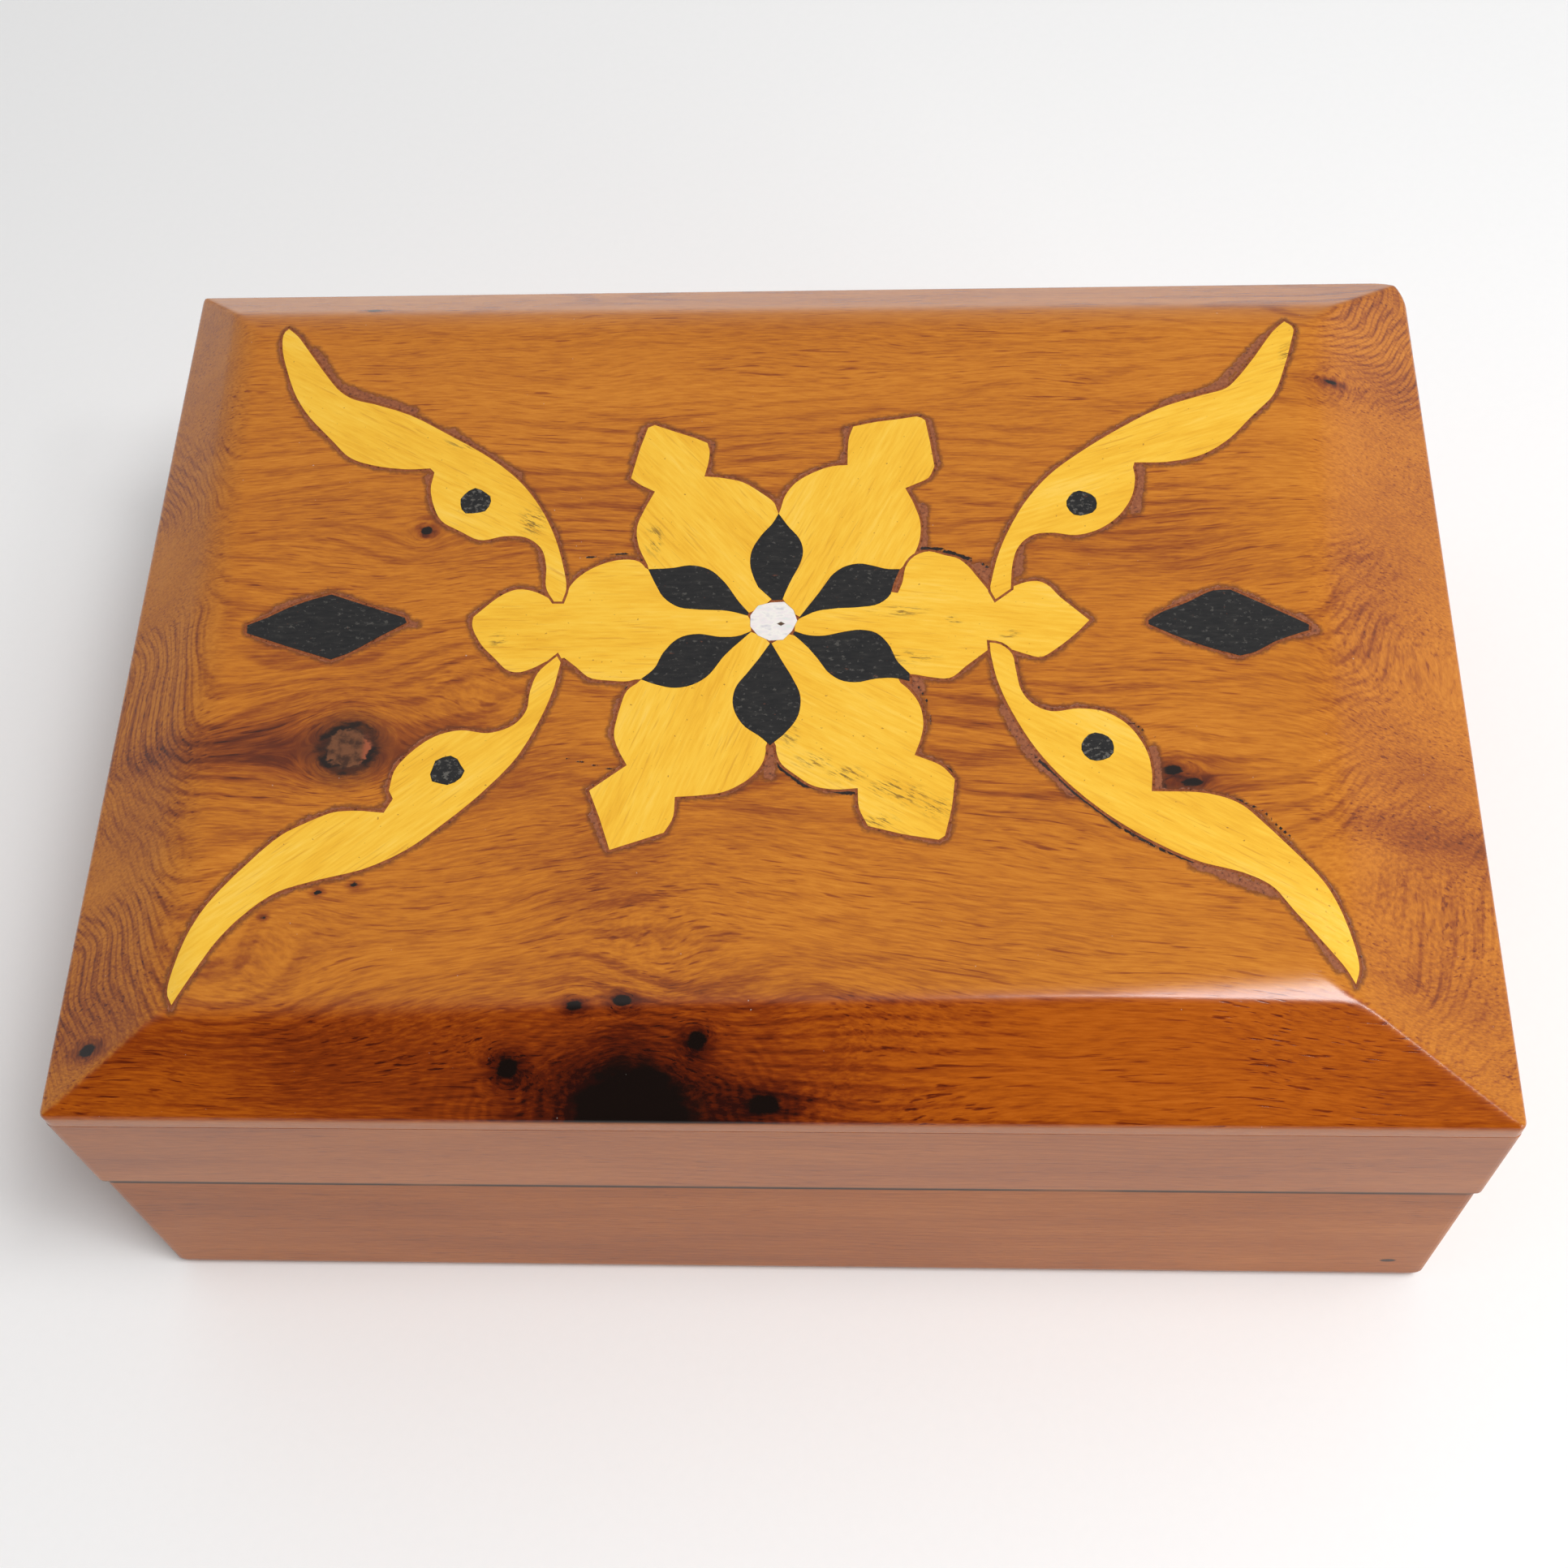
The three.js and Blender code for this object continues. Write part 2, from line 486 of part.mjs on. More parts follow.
// The panel: an upright edge, four bevels and a flat, with the ridge between
// bevel and flat rounded by a parabola.
function panelForm() {
  const outer = rectangle(lidX, lidY);
  const rise = HEIGHT - EDGE_Z;
  const ringAt = (part) => {
    const corners = outer.map(([x, y], i) => [x + part * (RIDGE[i][0] - x), y + part * (RIDGE[i][1] - y)]);
    const radii = LID_CORNERS.map((r) => r + Math.min(part, 1) * (RIDGE_RADIUS - r));
    const short = Math.max(1 + RIDGE_BLEND - part, 0);
    const drop = part <= 1 - RIDGE_BLEND ? rise * (1 - part) : (rise * short * short) / (4 * RIDGE_BLEND);
    return roundedRing(corners, radii, HEIGHT - drop);
  };
  const parts = [0, 1 - RIDGE_BLEND, 1 - RIDGE_BLEND / 2, 1, 1 + RIDGE_BLEND / 2, 1 + RIDGE_BLEND];
  return loft([roundedRing(outer, LID_CORNERS, PANEL_Z), ...parts.map(ringAt)]);
}

// The wedge planed off the back arris of the base (down) or of the lid (up),
// which lets the lid open and then stops it.
function stopWedge(up) {
  const reach = lidY - PIN_Y + 1;
  const fall = Math.tan(THREE.MathUtils.degToRad(STOP_ANGLE)) * reach;
  const side = up ? 1 : -1;
  const section = [
    [PIN_Y, SEAM_Z],
    [PIN_Y + reach, SEAM_Z + side * fall],
    [PIN_Y + reach, SEAM_Z - side],
    [PIN_Y, SEAM_Z - side],
  ];
  return prismAlongX(section, -lidX - 1, lidX + 1);
}

// --------------------------------------------------------------------- hinges

const knuckleLength = (HINGE_LENGTH - 2 * KNUCKLE_GAP) / 3;
// The plate stops short of the other leaf's knuckle.
const leafInner = PIN_Y - KNUCKLE_RADIUS - KNUCKLE_ROOM;
const leafOuter = leafInner - LEAF_WIDTH;
const screwY = (leafInner + leafOuter) / 2;
const screwXs = (centre) => [centre - SCREW_SPACING / 2, centre + SCREW_SPACING / 2];

// Leaf plates lie flush with the seam faces of the board (down) and rail (up).
function leafLevels(up) {
  return up ? [lidBottom, lidBottom + LEAF_THICK] : [baseTop - LEAF_THICK, baseTop];
}

function knuckleSpans(centre, up) {
  const start = centre - HINGE_LENGTH / 2;
  const pitch = knuckleLength + KNUCKLE_GAP;
  return (up ? [1] : [0, 2]).map((i) => [start + i * pitch, start + i * pitch + knuckleLength]);
}

// A countersunk screw with its head at z = 0, pointing down; room swells it to
// the hole it needs.
function screwForm(room) {
  const profile = [
    [0, -SCREW_LENGTH - room],
    [SCREW_SHANK_RADIUS + room, -SCREW_LENGTH + SCREW_SHANK_RADIUS],
    [SCREW_SHANK_RADIUS + room, -SCREW_HEAD_DEPTH],
    [SCREW_HEAD_RADIUS + room, 0],
    [SCREW_HEAD_RADIUS + room, room],
    [0, room],
  ];
  const points = profile.map(([r, z]) => new THREE.Vector2(r, z));
  return new THREE.LatheGeometry(points, ROUND_SEGMENTS).rotateX(Math.PI / 2);
}

function placedScrew(x, up, room) {
  const form = screwForm(room);
  if (up) form.rotateX(Math.PI);
  return solid(form.translate(x, screwY, up ? lidBottom : baseTop));
}

function screw(x, up) {
  const z = up ? lidBottom : baseTop;
  const reach = SCREW_HEAD_RADIUS + SCREW_ROOM;
  const slotYs = [screwY - SLOT_WIDTH / 2, screwY + SLOT_WIDTH / 2];
  const slot = block([x - reach, x + reach], slotYs, [z - SLOT_DEPTH, z + SLOT_DEPTH]);
  return placedScrew(x, up, 0).subtract(slot);
}

function hingeLeaf(centre, up) {
  const levels = leafLevels(up);
  const half = HINGE_LENGTH / 2;
  let leaf = block([centre - half, centre + half], [leafOuter, leafInner], levels);
  for (const [x0, x1] of knuckleSpans(centre, up)) {
    const neckEnd = PIN_Y - (KNUCKLE_RADIUS + BORE_RADIUS) / 2;
    const neck = block([x0, x1], [leafInner - KNUCKLE_GAP, neckEnd], levels);
    leaf = leaf.add(neck).add(barrel(KNUCKLE_RADIUS, x0, x1));
  }
  leaf = leaf.subtract(barrel(BORE_RADIUS, centre - half - 1, centre + half + 1));
  for (const x of screwXs(centre)) leaf = leaf.subtract(placedScrew(x, up, SCREW_ROOM));
  return leaf;
}

// Everything taken out of a board or rail to seat the hinges.
function hingeRecess(centre, up) {
  const [z0, z1] = leafLevels(up);
  const half = HINGE_LENGTH / 2 + KNUCKLE_ROOM;
  const levels = up ? [z0 - 1, z1 + LEAF_ROOM] : [z0 - LEAF_ROOM, z1 + 1];
  let recess = block([centre - half, centre + half], [leafOuter - LEAF_ROOM, PIN_Y], levels);
  recess = recess.add(barrel(KNUCKLE_RADIUS + KNUCKLE_ROOM, centre - half, centre + half));
  for (const x of screwXs(centre)) recess = recess.add(placedScrew(x, up, SCREW_ROOM));
  return recess;
}

function seatHinges(board, up) {
  return HINGE_CENTRES.reduce((cut, centre) => cut.subtract(hingeRecess(centre, up)), board);
}

// --------------------------------------------------------------------- inlays

const inlayFloor = HEIGHT - INLAY_THICK;

function inlayOutlines() {
  const all = (family, outline, look) => {
    return Object.entries(family).map(([name, cut]) => ({ name, points: outline(cut), look }));
  };
  return [
    ...all({ pearl_disc: PEARL }, discOutline, SHELL),
    ...all(DOTS, discOutline, EBONY),
    ...all(LEAVES, outlineOf, EBONY),
    ...all(DIAMONDS, outlineOf, EBONY),
    ...all(SCROLLS, outlineOf, LEMONWOOD),
    ...all(PETALS, petalOutline, LEMONWOOD),
  ];
}

// Lays the inlays in order: each is trimmed back from those already in place,
// planed to the panel's surface, and has its pocket cut from the panel.
function layInlays(form) {
  let panel = form;
  const pockets = [];
  const pieces = inlayOutlines().map(({ name, points, look }) => {
    let body = prism(points, inlayFloor, HEIGHT + 1).intersect(form);
    for (const pocket of pockets) body = body.subtract(pocket);
    pockets.push(prism(grown(points, GLUE_GAP), inlayFloor, HEIGHT + 1));
    return { name, body, look };
  });
  for (const pocket of pockets) panel = panel.subtract(pocket);
  return { panel, pieces };
}

// ------------------------------------------------------------------- assembly

function add(group, name, body, look) {
  const mesh = new THREE.Mesh(geometryOf(body), finish(look.color, look.roughness, look.metalness));
  mesh.name = name;
  group.add(mesh);
}

function addHinges(group, up) {
  const level = up ? "upper" : "lower";
  HINGE_CENTRES.forEach((centre, i) => {
    const side = ["left", "right"][i];
    add(group, `hinge_${side}_${level}_leaf`, hingeLeaf(centre, up), BRASS);
    screwXs(centre).forEach((x, k) => {
      add(group, `hinge_${side}_${level}_screw_${k + 1}`, screw(x, up), BRASS);
    });
  });
}

function buildBase() {
  const base = new THREE.Group();
  for (const { side, body } of mitredBoards(baseX, baseY, 0, baseTop, baseForm(), false)) {
    add(base, `base_${side}_board`, side === "back" ? seatHinges(body, false) : body, THUYA_EDGE);
  }
  const [x, y] = [baseX - WALL, baseY - WALL];
  add(base, "base_bottom_panel", block([-x, x], [-y, y], [0, FLOOR_THICK]), BARE_THUYA);
  addHinges(base, false);
  HINGE_CENTRES.forEach((centre, i) => {
    const half = HINGE_LENGTH / 2;
    add(base, `hinge_${["left", "right"][i]}_pin`, barrel(PIN_RADIUS, centre - half, centre + half), BRASS);
  });
  return base;
}

function buildLid() {
  const lid = new THREE.Group();
  for (const { side, body } of mitredBoards(lidX, lidY, lidBottom, PANEL_Z, lidRailForm(), true)) {
    add(lid, `lid_${side}_rail`, side === "back" ? seatHinges(body, true) : body, THUYA_EDGE);
  }
  const { panel, pieces } = layInlays(panelForm());
  add(lid, "lid_panel", panel, THUYA);
  for (const { name, body, look } of pieces) add(lid, name, body, look);
  addHinges(lid, true);
  return lid;
}

const box = new THREE.Group();
box.name = "inlaid_wooden_box";
box.add(buildBase(), buildLid());

export default box;
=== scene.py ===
# The looks of a small inlaid wooden box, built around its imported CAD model.
#
# The boards, rails and hinges keep their CAD shapes and get materials.  The lid's
# bevelled panel, its inlays and the filler around them are remade here as fine
# meshes: one smooth form of the panel is cut by the outlines of the CAD pieces,
# so every piece stays where the CAD puts it.  Lengths are worked in millimetres
# and turned into metres at the end of each piece.

import math

import bpy
import numpy as np
from mathutils import Matrix, Vector
from mathutils.kdtree import KDTree


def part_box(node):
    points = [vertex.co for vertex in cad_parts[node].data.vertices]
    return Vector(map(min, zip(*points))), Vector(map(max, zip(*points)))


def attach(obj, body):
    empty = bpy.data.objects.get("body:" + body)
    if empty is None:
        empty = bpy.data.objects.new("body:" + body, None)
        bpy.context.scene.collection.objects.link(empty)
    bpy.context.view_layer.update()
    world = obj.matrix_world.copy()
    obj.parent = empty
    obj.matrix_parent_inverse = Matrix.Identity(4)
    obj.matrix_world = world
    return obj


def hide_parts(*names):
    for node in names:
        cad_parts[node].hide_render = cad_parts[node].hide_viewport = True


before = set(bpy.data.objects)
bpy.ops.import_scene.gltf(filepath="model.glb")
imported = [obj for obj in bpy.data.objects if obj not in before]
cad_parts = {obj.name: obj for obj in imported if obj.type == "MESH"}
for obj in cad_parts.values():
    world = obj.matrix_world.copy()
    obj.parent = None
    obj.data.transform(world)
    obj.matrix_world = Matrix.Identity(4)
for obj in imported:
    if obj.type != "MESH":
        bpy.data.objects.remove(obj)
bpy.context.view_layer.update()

MM = 0.001


def box_mm(node):
    """The lowest and highest corner of a CAD node, in millimetres."""
    low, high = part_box(node)
    return np.array(low) / MM, np.array(high) / MM


# ------------------------------------------------------------------ dimensions

SHY = 0.0001  # the remade panel stays this far inside the CAD one, so rounding can't matter
PANEL_LOW, PANEL_HIGH = box_mm("lid_panel")
HALF_X, HALF_Y = PANEL_HIGH[:2] - SHY
LID_TOP = PANEL_HIGH[2]
PANEL_BOTTOM = PANEL_LOW[2]
INLAY_FLOOR = box_mm("pearl_disc")[0][2]
BASE_HALF_X = box_mm("base_right_board")[1][0]
BASE_HALF_Y = -box_mm("base_front_board")[0][1]
BASE_TOP = box_mm("base_front_board")[1][2]
LID_BOTTOM = box_mm("lid_front_rail")[0][2]
WALL = BASE_HALF_X - box_mm("base_bottom_panel")[1][0]

BEVEL_FALL = 7.7  # from the flat of the lid to the start of the upright edge
# How the ridges are rounded: from how far inside the ridge the flat curves down, as a
# part of the bevel's width, and the part of the bevel's slope it has reached where
# the straight bevel begins.
SOFT_RIDGES = [(0.24, 1.0), (0.30, 1.0), (0.26, 1.0)]  # right, back and left
# The front ridge is crisper to the right: x, then the same two numbers there, and the
# part of the bevel's width over which its painted shade sets in.
FRONT_RIDGE_X = [-60.0, -10.0, 35.0, 57.0]
FRONT_RIDGE_REACH = [0.22, 0.12, 0.16, 0.32]
FRONT_RIDGE_SLOPE = [1.0, 0.55, 0.50, 0.50]
FRONT_RIDGE_FADE = [0.30, 0.12, 0.06, 0.06]
OTHER_RIDGE_FADE = 0.10
UPRIGHT_FADE = 0.12  # width over which a bevel's colour turns into the upright edge's
# Where the four mitres meet the flat: front left, front right, back right, back left.
RIDGE = [(-61.4, -46.1), (56.8, -43.2), (62.5, 43.8), (-66.1, 44.7)]
CORNER_RADII = [1.0, 1.0, 4.0, 1.0]  # plan radii, in the same order
CORNER_SIDES = [(-1, -1), (1, -1), (1, 1), (-1, 1)]
MITRE_SOFTNESS = 0.035  # rounding of the mitre lines, as a part of the bevel's fall
ARRIS = 0.5  # rounding of the panel's outer edge
GLUE_LINE = 0.12  # chamfer at the panel's lower edge, where it is glued to the rails

GRID_STEP = 0.42  # spacing of the panel's mesh
EDGE_LINES = [0, 0.02, 0.06, 0.12, 0.2, 0.3, 0.5, 0.75, 1.0]  # its closer lines, in from an edge
UPRIGHT_RING = 1.0  # a row of points this far above the panel's underside
OUTLINE_STEP = 0.4  # spacing of points along an inlay's outline
MARK_STEP = 0.1  # the same where distances to an outline are measured
TOUCH = 0.002  # points closer than this are one point
HAIRLINE = 0.03  # joint left where a pale piece fits a black one or the shell
FIT_REACH = 0.45  # how near a black piece has to be for a pale piece to close up to it
FILLER_SUNK = 0.04  # the filler lies this far below the wood
ABOVE = 2.0  # how far the cutting shapes reach above the lid
FAR = 9.0  # more than any distance that a painted mark reaches
SMOOTH_ANGLE = math.radians(35)  # faces that meet at less are shaded as one
BOARD_EASE = 0.12  # rounding of the boards' edges
LEAF_EASE = 0.06  # rounding of the hinge leaves' edges
EASE_ANGLE = math.radians(40)  # edges sharper than this are rounded
VARNISH_START = 0.1  # the varnish starts this far out from a board's inner face
SEAM_SHADE_AND_GRIME_HEIGHT = 0.30  # height of the painted shade and grime beside the seam
FRONT_SHADE_AND_GRIME_HEIGHT = 1.30  # the same on the base's long boards, below the lid's overhang

PALE = ["scroll_upper_left", "scroll_upper_right", "scroll_lower_left", "scroll_lower_right",
        "petal_right", "petal_upper_right", "petal_upper_left", "petal_left",
        "petal_lower_left", "petal_lower_right"]
BLACK = ["dot_upper_left", "dot_upper_right", "dot_lower_left", "dot_lower_right",
         "leaf_top", "leaf_upper_left", "leaf_lower_left", "leaf_bottom",
         "leaf_lower_right", "leaf_upper_right", "diamond_left", "diamond_right"]
SHELL = "pearl_disc"

# The direction of each pale piece's grain, in degrees anticlockwise from +X.
GRAIN_ANGLES = {
    "scroll_upper_left": -30, "scroll_upper_right": 20, "scroll_lower_left": 40,
    "scroll_lower_right": -30, "petal_right": -6, "petal_upper_right": 65,
    "petal_upper_left": -50, "petal_left": 0, "petal_lower_left": 70, "petal_lower_right": -30,
}

# Dark specks and mould on the pale pieces: x, y, radius along x, radius along y.
STAINS = [
    (4.0, -17.3, 1.6, 0.7), (7.5, -19.0, 1.5, 0.8), (12.0, -20.7, 1.7, 0.9),
    (14.0, -21.5, 1.8, 0.9), (17.0, -23.0, 1.4, 0.9), (11.0, -24.6, 1.5, 0.6),
    (1.5, -14.0, 0.7, 1.2), (13.0, 1.6, 2.4, 0.5), (14.0, -4.4, 2.4, 0.6), (19.0, 0.4, 0.7, 0.5),
    (25.0, -1.5, 0.8, 0.5), (-14.5, 11.5, 0.8, 1.6), (-37.0, 25.5, 2.0, 0.8),
    (-28.5, 14.0, 1.2, 1.6), (58.3, 37.0, 0.8, 1.4), (-31.0, -2.0, 0.7, 0.7),
]

# Open joints and cracks in the filler: half a width, then the points along it.
CRACKS = [
    (0.10, [(-22.0, 9.0), (-16.0, 9.7), (-15.6, 8.2)]),
    (0.08, [(-0.5, 14.9), (-1.4, 17.0), (-4.5, 19.2)]),
    (0.22, [(15.6, 10.0), (17.4, 9.9), (21.0, 8.4)]),
    (0.16, [(22.2, 7.8), (22.9, 7.3)]),
    (0.10, [(15.1, -8.2), (16.2, -10.4), (16.3, -13.0)]),
    (0.20, [(-0.2, -15.0), (0.5, -18.2), (3.0, -20.3), (8.5, -21.4)]),
    (0.09, [(15.0, -16.8), (17.1, -17.6), (18.9, -18.8)]),
    (0.25, [(-16.4, -8.3), (-16.0, -8.8)]),
    (0.13, [(27.0, -16.5), (31.0, -21.0), (36.0, -25.5), (40.0, -28.0), (43.0, -29.3)]),
    (0.12, [(43.0, -21.1), (48.5, -22.2), (50.7, -23.6), (53.3, -26.8)]),
    (0.10, [(37.0, -12.2), (40.2, -14.8)]),
    (0.07, [(-22.4, -17.0), (-16.5, -18.6)]),
]

# Places where the pocket was cut too wide and filled: half a width, then the points.
FILLED = [
    (0.45, [(12.8, 7.2), (13.0, 4.6)]),
    (0.50, [(-0.6, -15.6), (-0.5, -19.0)]),
    (0.60, [(14.9, -6.9), (15.2, -8.4)]),
    (0.85, [(21.4, 6.2), (23.1, 5.7)]),
    (0.65, [(21.9, 7.2), (22.6, 6.6)]),
    (0.45, [(7.0, 22.0), (7.2, 26.8)]), (0.45, [(16.4, 27.8), (17.2, 21.8)]),
    (0.45, [(15.6, 10.4), (15.7, 15.6)]),
    (0.40, [(-9.0, 20.6), (-8.7, 24.8)]), (0.35, [(-16.3, 27.2), (-17.4, 22.0)]),
    (0.35, [(-17.2, -10.0), (-17.6, -14.0)]), (0.35, [(-18.9, -23.8), (-17.4, -27.6)]),
    (0.45, [(-57.0, 39.4), (-53.2, 33.9), (-44.0, 30.0)]), (0.35, [(-39.0, 26.9), (-30.6, 20.6)]),
    (0.50, [(-26.9, 10.4), (-26.2, 5.2)]), (0.40, [(-41.0, 20.4), (-40.0, 15.8)]),
    (0.35, [(43.5, 30.0), (49.5, 32.4), (55.8, 39.8)]),
    (0.60, [(40.1, 20.8), (39.6, 15.2)]), (0.80, [(26.0, 10.2), (26.1, 7.0)]),
    (0.50, [(27.6, 12.2), (30.4, 12.7)]),
    (0.45, [(-26.3, -6.8), (-26.7, -10.6)]), (0.25, [(-41.2, -20.4), (-39.2, -16.0)]),
    (0.50, [(24.2, -11.0), (27.0, -16.6), (31.0, -21.2)]), (0.40, [(43.0, -29.5), (50.6, -32.8)]),
    (0.55, [(39.7, -20.8), (39.7, -16.0)]), (0.35, [(53.6, -35.6), (56.6, -41.0)]),
    (0.25, [(-56.2, 2.4), (-51.0, 4.5)]), (0.25, [(43.0, 2.4), (48.0, 4.5)]),
    (0.30, [(56.4, 0.6), (58.2, -0.9), (56.0, -2.0)]), (0.25, [(-41.2, 0.2), (-40.2, 0.1)]),
]

# What the grain flows round: x, y, how far the flow is pushed aside, and how gently.
# Below 1 the lines close into rings, as they do round a knot.
FLOWS = [
    (-46.0, -15.7, 4.8, 0.35), (-40.5, 12.9, 2.0, 0.5), (-13.7, -55.5, 9.0, 0.35),
    (-7.2, -48.2, 1.4, 0.4), (-26.4, -50.5, 1.8, 0.4), (-19.5, -45.4, 1.2, 0.5),
    (-14.7, -44.9, 1.2, 0.5), (-70.0, -48.7, 1.5, 0.5), (-51.0, 47.5, 1.2, 0.6),
    (42.0, -19.2, 3.0, 0.6), (70.0, -3.0, 9.0, 1.1), (69.0, -33.0, 8.0, 1.3),
    (-72.0, -8.0, 7.0, 1.2), (-12.0, -38.0, 7.0, 1.2), (-52.0, -40.0, 7.0, 1.3),
    (63.0, 33.7, 2.0, 0.8), (8.0, -50.0, 5.0, 1.1), (-33.0, -9.0, 5.0, 1.3),
]

# Small dark knots: x, y, radius along x, radius along y.
SMALL_KNOTS = [
    (-7.2, -48.2, 1.0, 0.75), (-26.4, -50.5, 1.15, 0.9), (-19.5, -45.4, 0.9, 0.5),
    (-14.7, -44.9, 1.1, 0.5), (-0.6, -53.4, 2.0, 0.9), (-70.0, -48.7, 1.1, 0.7),
    (-51.0, 47.5, 1.0, 0.35), (-47.0, -33.0, 0.45, 0.3), (-43.3, -32.0, 0.5, 0.3),
    (-52.3, -35.8, 0.35, 0.25), (41.5, -18.5, 1.1, 0.6), (43.5, -20.0, 1.2, 0.5),
    (40.1, -20.5, 0.8, 0.5), (63.0, 33.7, 0.9, 0.3), (-40.5, 12.9, 0.7, 0.55),
]
EYE_KNOT = (-46.0, -15.7, 3.1, 3.0)
GREAT_KNOT = (-14.2, -54.8, 7.2, 4.2)
BASE_KNOT = (69.6, 6.5)  # x and height of a knot in the base's front board
CRESCENT = (1.3, 2.1)  # how far right of the eye knot's middle its red crescent sets in

# Patches of the thuya darker (below 0) or lighter: x, y, radius along x, along y, amount.
TONES = [
    (-16.0, -53.5, 25.0, 6.5, -0.34), (-50.0, -16.0, 14.0, 3.6, -0.22),
    (-61.0, -15.0, 16.0, 2.6, -0.14), (-40.0, -17.0, 7.0, 2.2, -0.16),
    (-47.0, -9.0, 12.0, 6.0, -0.08), (-32.0, -20.0, 8.0, 9.0, -0.12),
    (-17.0, -31.0, 9.0, 8.0, -0.13), (-2.0, -25.0, 5.0, 5.0, -0.08),
    (0.0, -33.0, 12.0, 6.0, 0.06), (20.0, -15.0, 5.0, 8.0, -0.07),
    (31.0, -22.0, 7.0, 3.0, -0.10), (44.0, -19.5, 7.0, 2.6, -0.24),
    (68.0, -24.5, 10.0, 2.2, -0.20), (48.0, -10.0, 9.0, 6.0, 0.06),
    (-66.0, -47.0, 9.0, 6.0, -0.10), (40.0, 36.0, 30.0, 9.0, 0.05),
    (58.0, 20.0, 5.0, 16.0, 0.05), (0.0, 38.0, 26.0, 5.0, -0.05),
    (-45.0, -50.0, 9.0, 5.0, -0.12), (-35.0, -14.0, 4.0, 2.0, -0.14),
    (63.0, 33.0, 4.0, 1.6, -0.12), (68.5, -5.0, 8.0, 48.0, -0.08),
    (-44.0, -39.0, 22.0, 7.0, -0.07),
]

FLOOR_REACH = 8.0  # metres from the box to the floor's edges
# Lights: name, place, width and height in metres, and power in watts.
LIGHTS = [
    ("key", (0.24, -0.14, 0.70), (0.30, 0.19), 3.1),
    ("glint", (0.42, -0.20, 0.66), (0.09, 0.08), 0.45),
    ("right_fill", (0.80, 0.25, 0.38), (0.80, 0.60), 0.4),
    ("low_fill", (0.55, -0.42, 0.20), (0.30, 0.30), 0.95),
]
LIGHT_AIM = (0.0, 0.0, 0.05)
# The surroundings are dim towards the front: their strength rises from the first number to
# the second as the Y of the direction goes from the first of WORLD_TURN to the second.
WORLD_STRENGTH = (0.07, 0.50)
WORLD_TURN = (-0.75, -0.10)
CAMERA_PLACE = (0.013249, -0.133203, 0.258833)
CAMERA_TURN = (0.513266, 0.046893, 0.025418)
CAMERA_LENS = 50.43
SENSOR_WIDTH = 36.0


# ------------------------------------------------- outlines of the CAD pieces

def rings_at(node, level):
    """The closed outlines that bound a CAD node's faces at one height, as (x, y) arrays.
    Outer outlines run anticlockwise where the faces look up, and holes clockwise."""
    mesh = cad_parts[node].data
    points = [tuple(np.round(np.array(v.co) / MM / TOUCH).astype(int)) for v in mesh.vertices]
    height = round(level / TOUCH)
    edges = set()
    for polygon in mesh.polygons:
        ring = [points[i] for i in polygon.vertices]
        if any(abs(p[2] - height) > 1 for p in ring):
            continue
        for a, b in zip(ring, ring[1:] + ring[:1]):
            if (b[:2], a[:2]) in edges:
                edges.remove((b[:2], a[:2]))
            elif a != b:
                edges.add((a[:2], b[:2]))
    after = dict(sorted(edges))
    rings = []
    while after:
        start, point = after.popitem()
        ring = [start]
        while point != start:
            ring.append(point)
            point = after.pop(point)
        rings.append(np.array(ring) * TOUCH)
    return rings


def turned_area(ring):
    """The area inside a ring, positive where it runs anticlockwise."""
    x, y = ring.T
    return 0.5 * np.sum(x * np.roll(y, -1) - np.roll(x, -1) * y)


def inlay_rings(node):
    """The outlines of an inlay: the outer one anticlockwise, and any hole clockwise."""
    return [ring[::-1] for ring in rings_at(node, INLAY_FLOOR)]


def divided(ring, step):
    """The ring with points no further apart than step."""
    parts = []
    for a, b in zip(ring, np.roll(ring, -1, axis=0)):
        count = max(1, math.ceil(np.linalg.norm(b - a) / step))
        parts.append(a + (b - a) * (np.arange(count) / count)[:, None])
    return np.concatenate(parts)


def nearest(points, a, b):
    """For each point, the distance to the nearest of the segments a-b, and its foot there."""
    along = b - a
    length2 = np.maximum((along ** 2).sum(1), 1e-9)
    part = np.clip(((points[:, None] - a) * along).sum(2) / length2, 0, 1)
    feet = a + part[..., None] * along
    gaps = np.linalg.norm(points[:, None] - feet, axis=2)
    best = gaps.argmin(1)
    rows = np.arange(len(points))
    return gaps[rows, best], feet[rows, best]


def closed_up(ring, neighbours):
    """The ring with its points that face a neighbour moved up to it, all but a hairline."""
    starts = np.concatenate(neighbours)
    ends = np.concatenate([np.roll(n, -1, axis=0) for n in neighbours])
    gap, foot = nearest(ring, starts, ends)
    moved = foot + (ring - foot) * (HAIRLINE / np.maximum(gap, 1e-6))[:, None]
    return np.where((gap < FIT_REACH)[:, None], moved, ring)


# ----------------------------------------------------------- the panel's form

def side_parts(x, y):
    """How far each point is from each outer side, as a part of the bevel's width there."""
    front_left, front_right, back_right, back_left = RIDGE

    def ridge(value, start, end, axis):
        slope = (end[1 - axis] - start[1 - axis]) / (end[axis] - start[axis])
        return start[1 - axis] + slope * (value - start[axis])

    return [
        (y + HALF_Y) / (HALF_Y + ridge(x, front_left, front_right, 0)),
        (HALF_X - x) / (HALF_X - ridge(y, front_right, back_right, 1)),
        (HALF_Y - y) / (HALF_Y - ridge(x, back_left, back_right, 0)),
        (x + HALF_X) / (HALF_X + ridge(y, front_left, back_left, 1)),
    ]


def soft_most(a, b):
    """The larger of a and b, rounded where they are nearly equal and well above 0."""
    softness = np.minimum(MITRE_SOFTNESS, 0.5 * np.maximum(a, b)) + 1e-6
    blend = np.maximum(softness - np.abs(a - b), 0) / softness
    return np.maximum(a, b) + blend ** 2 * softness / 4


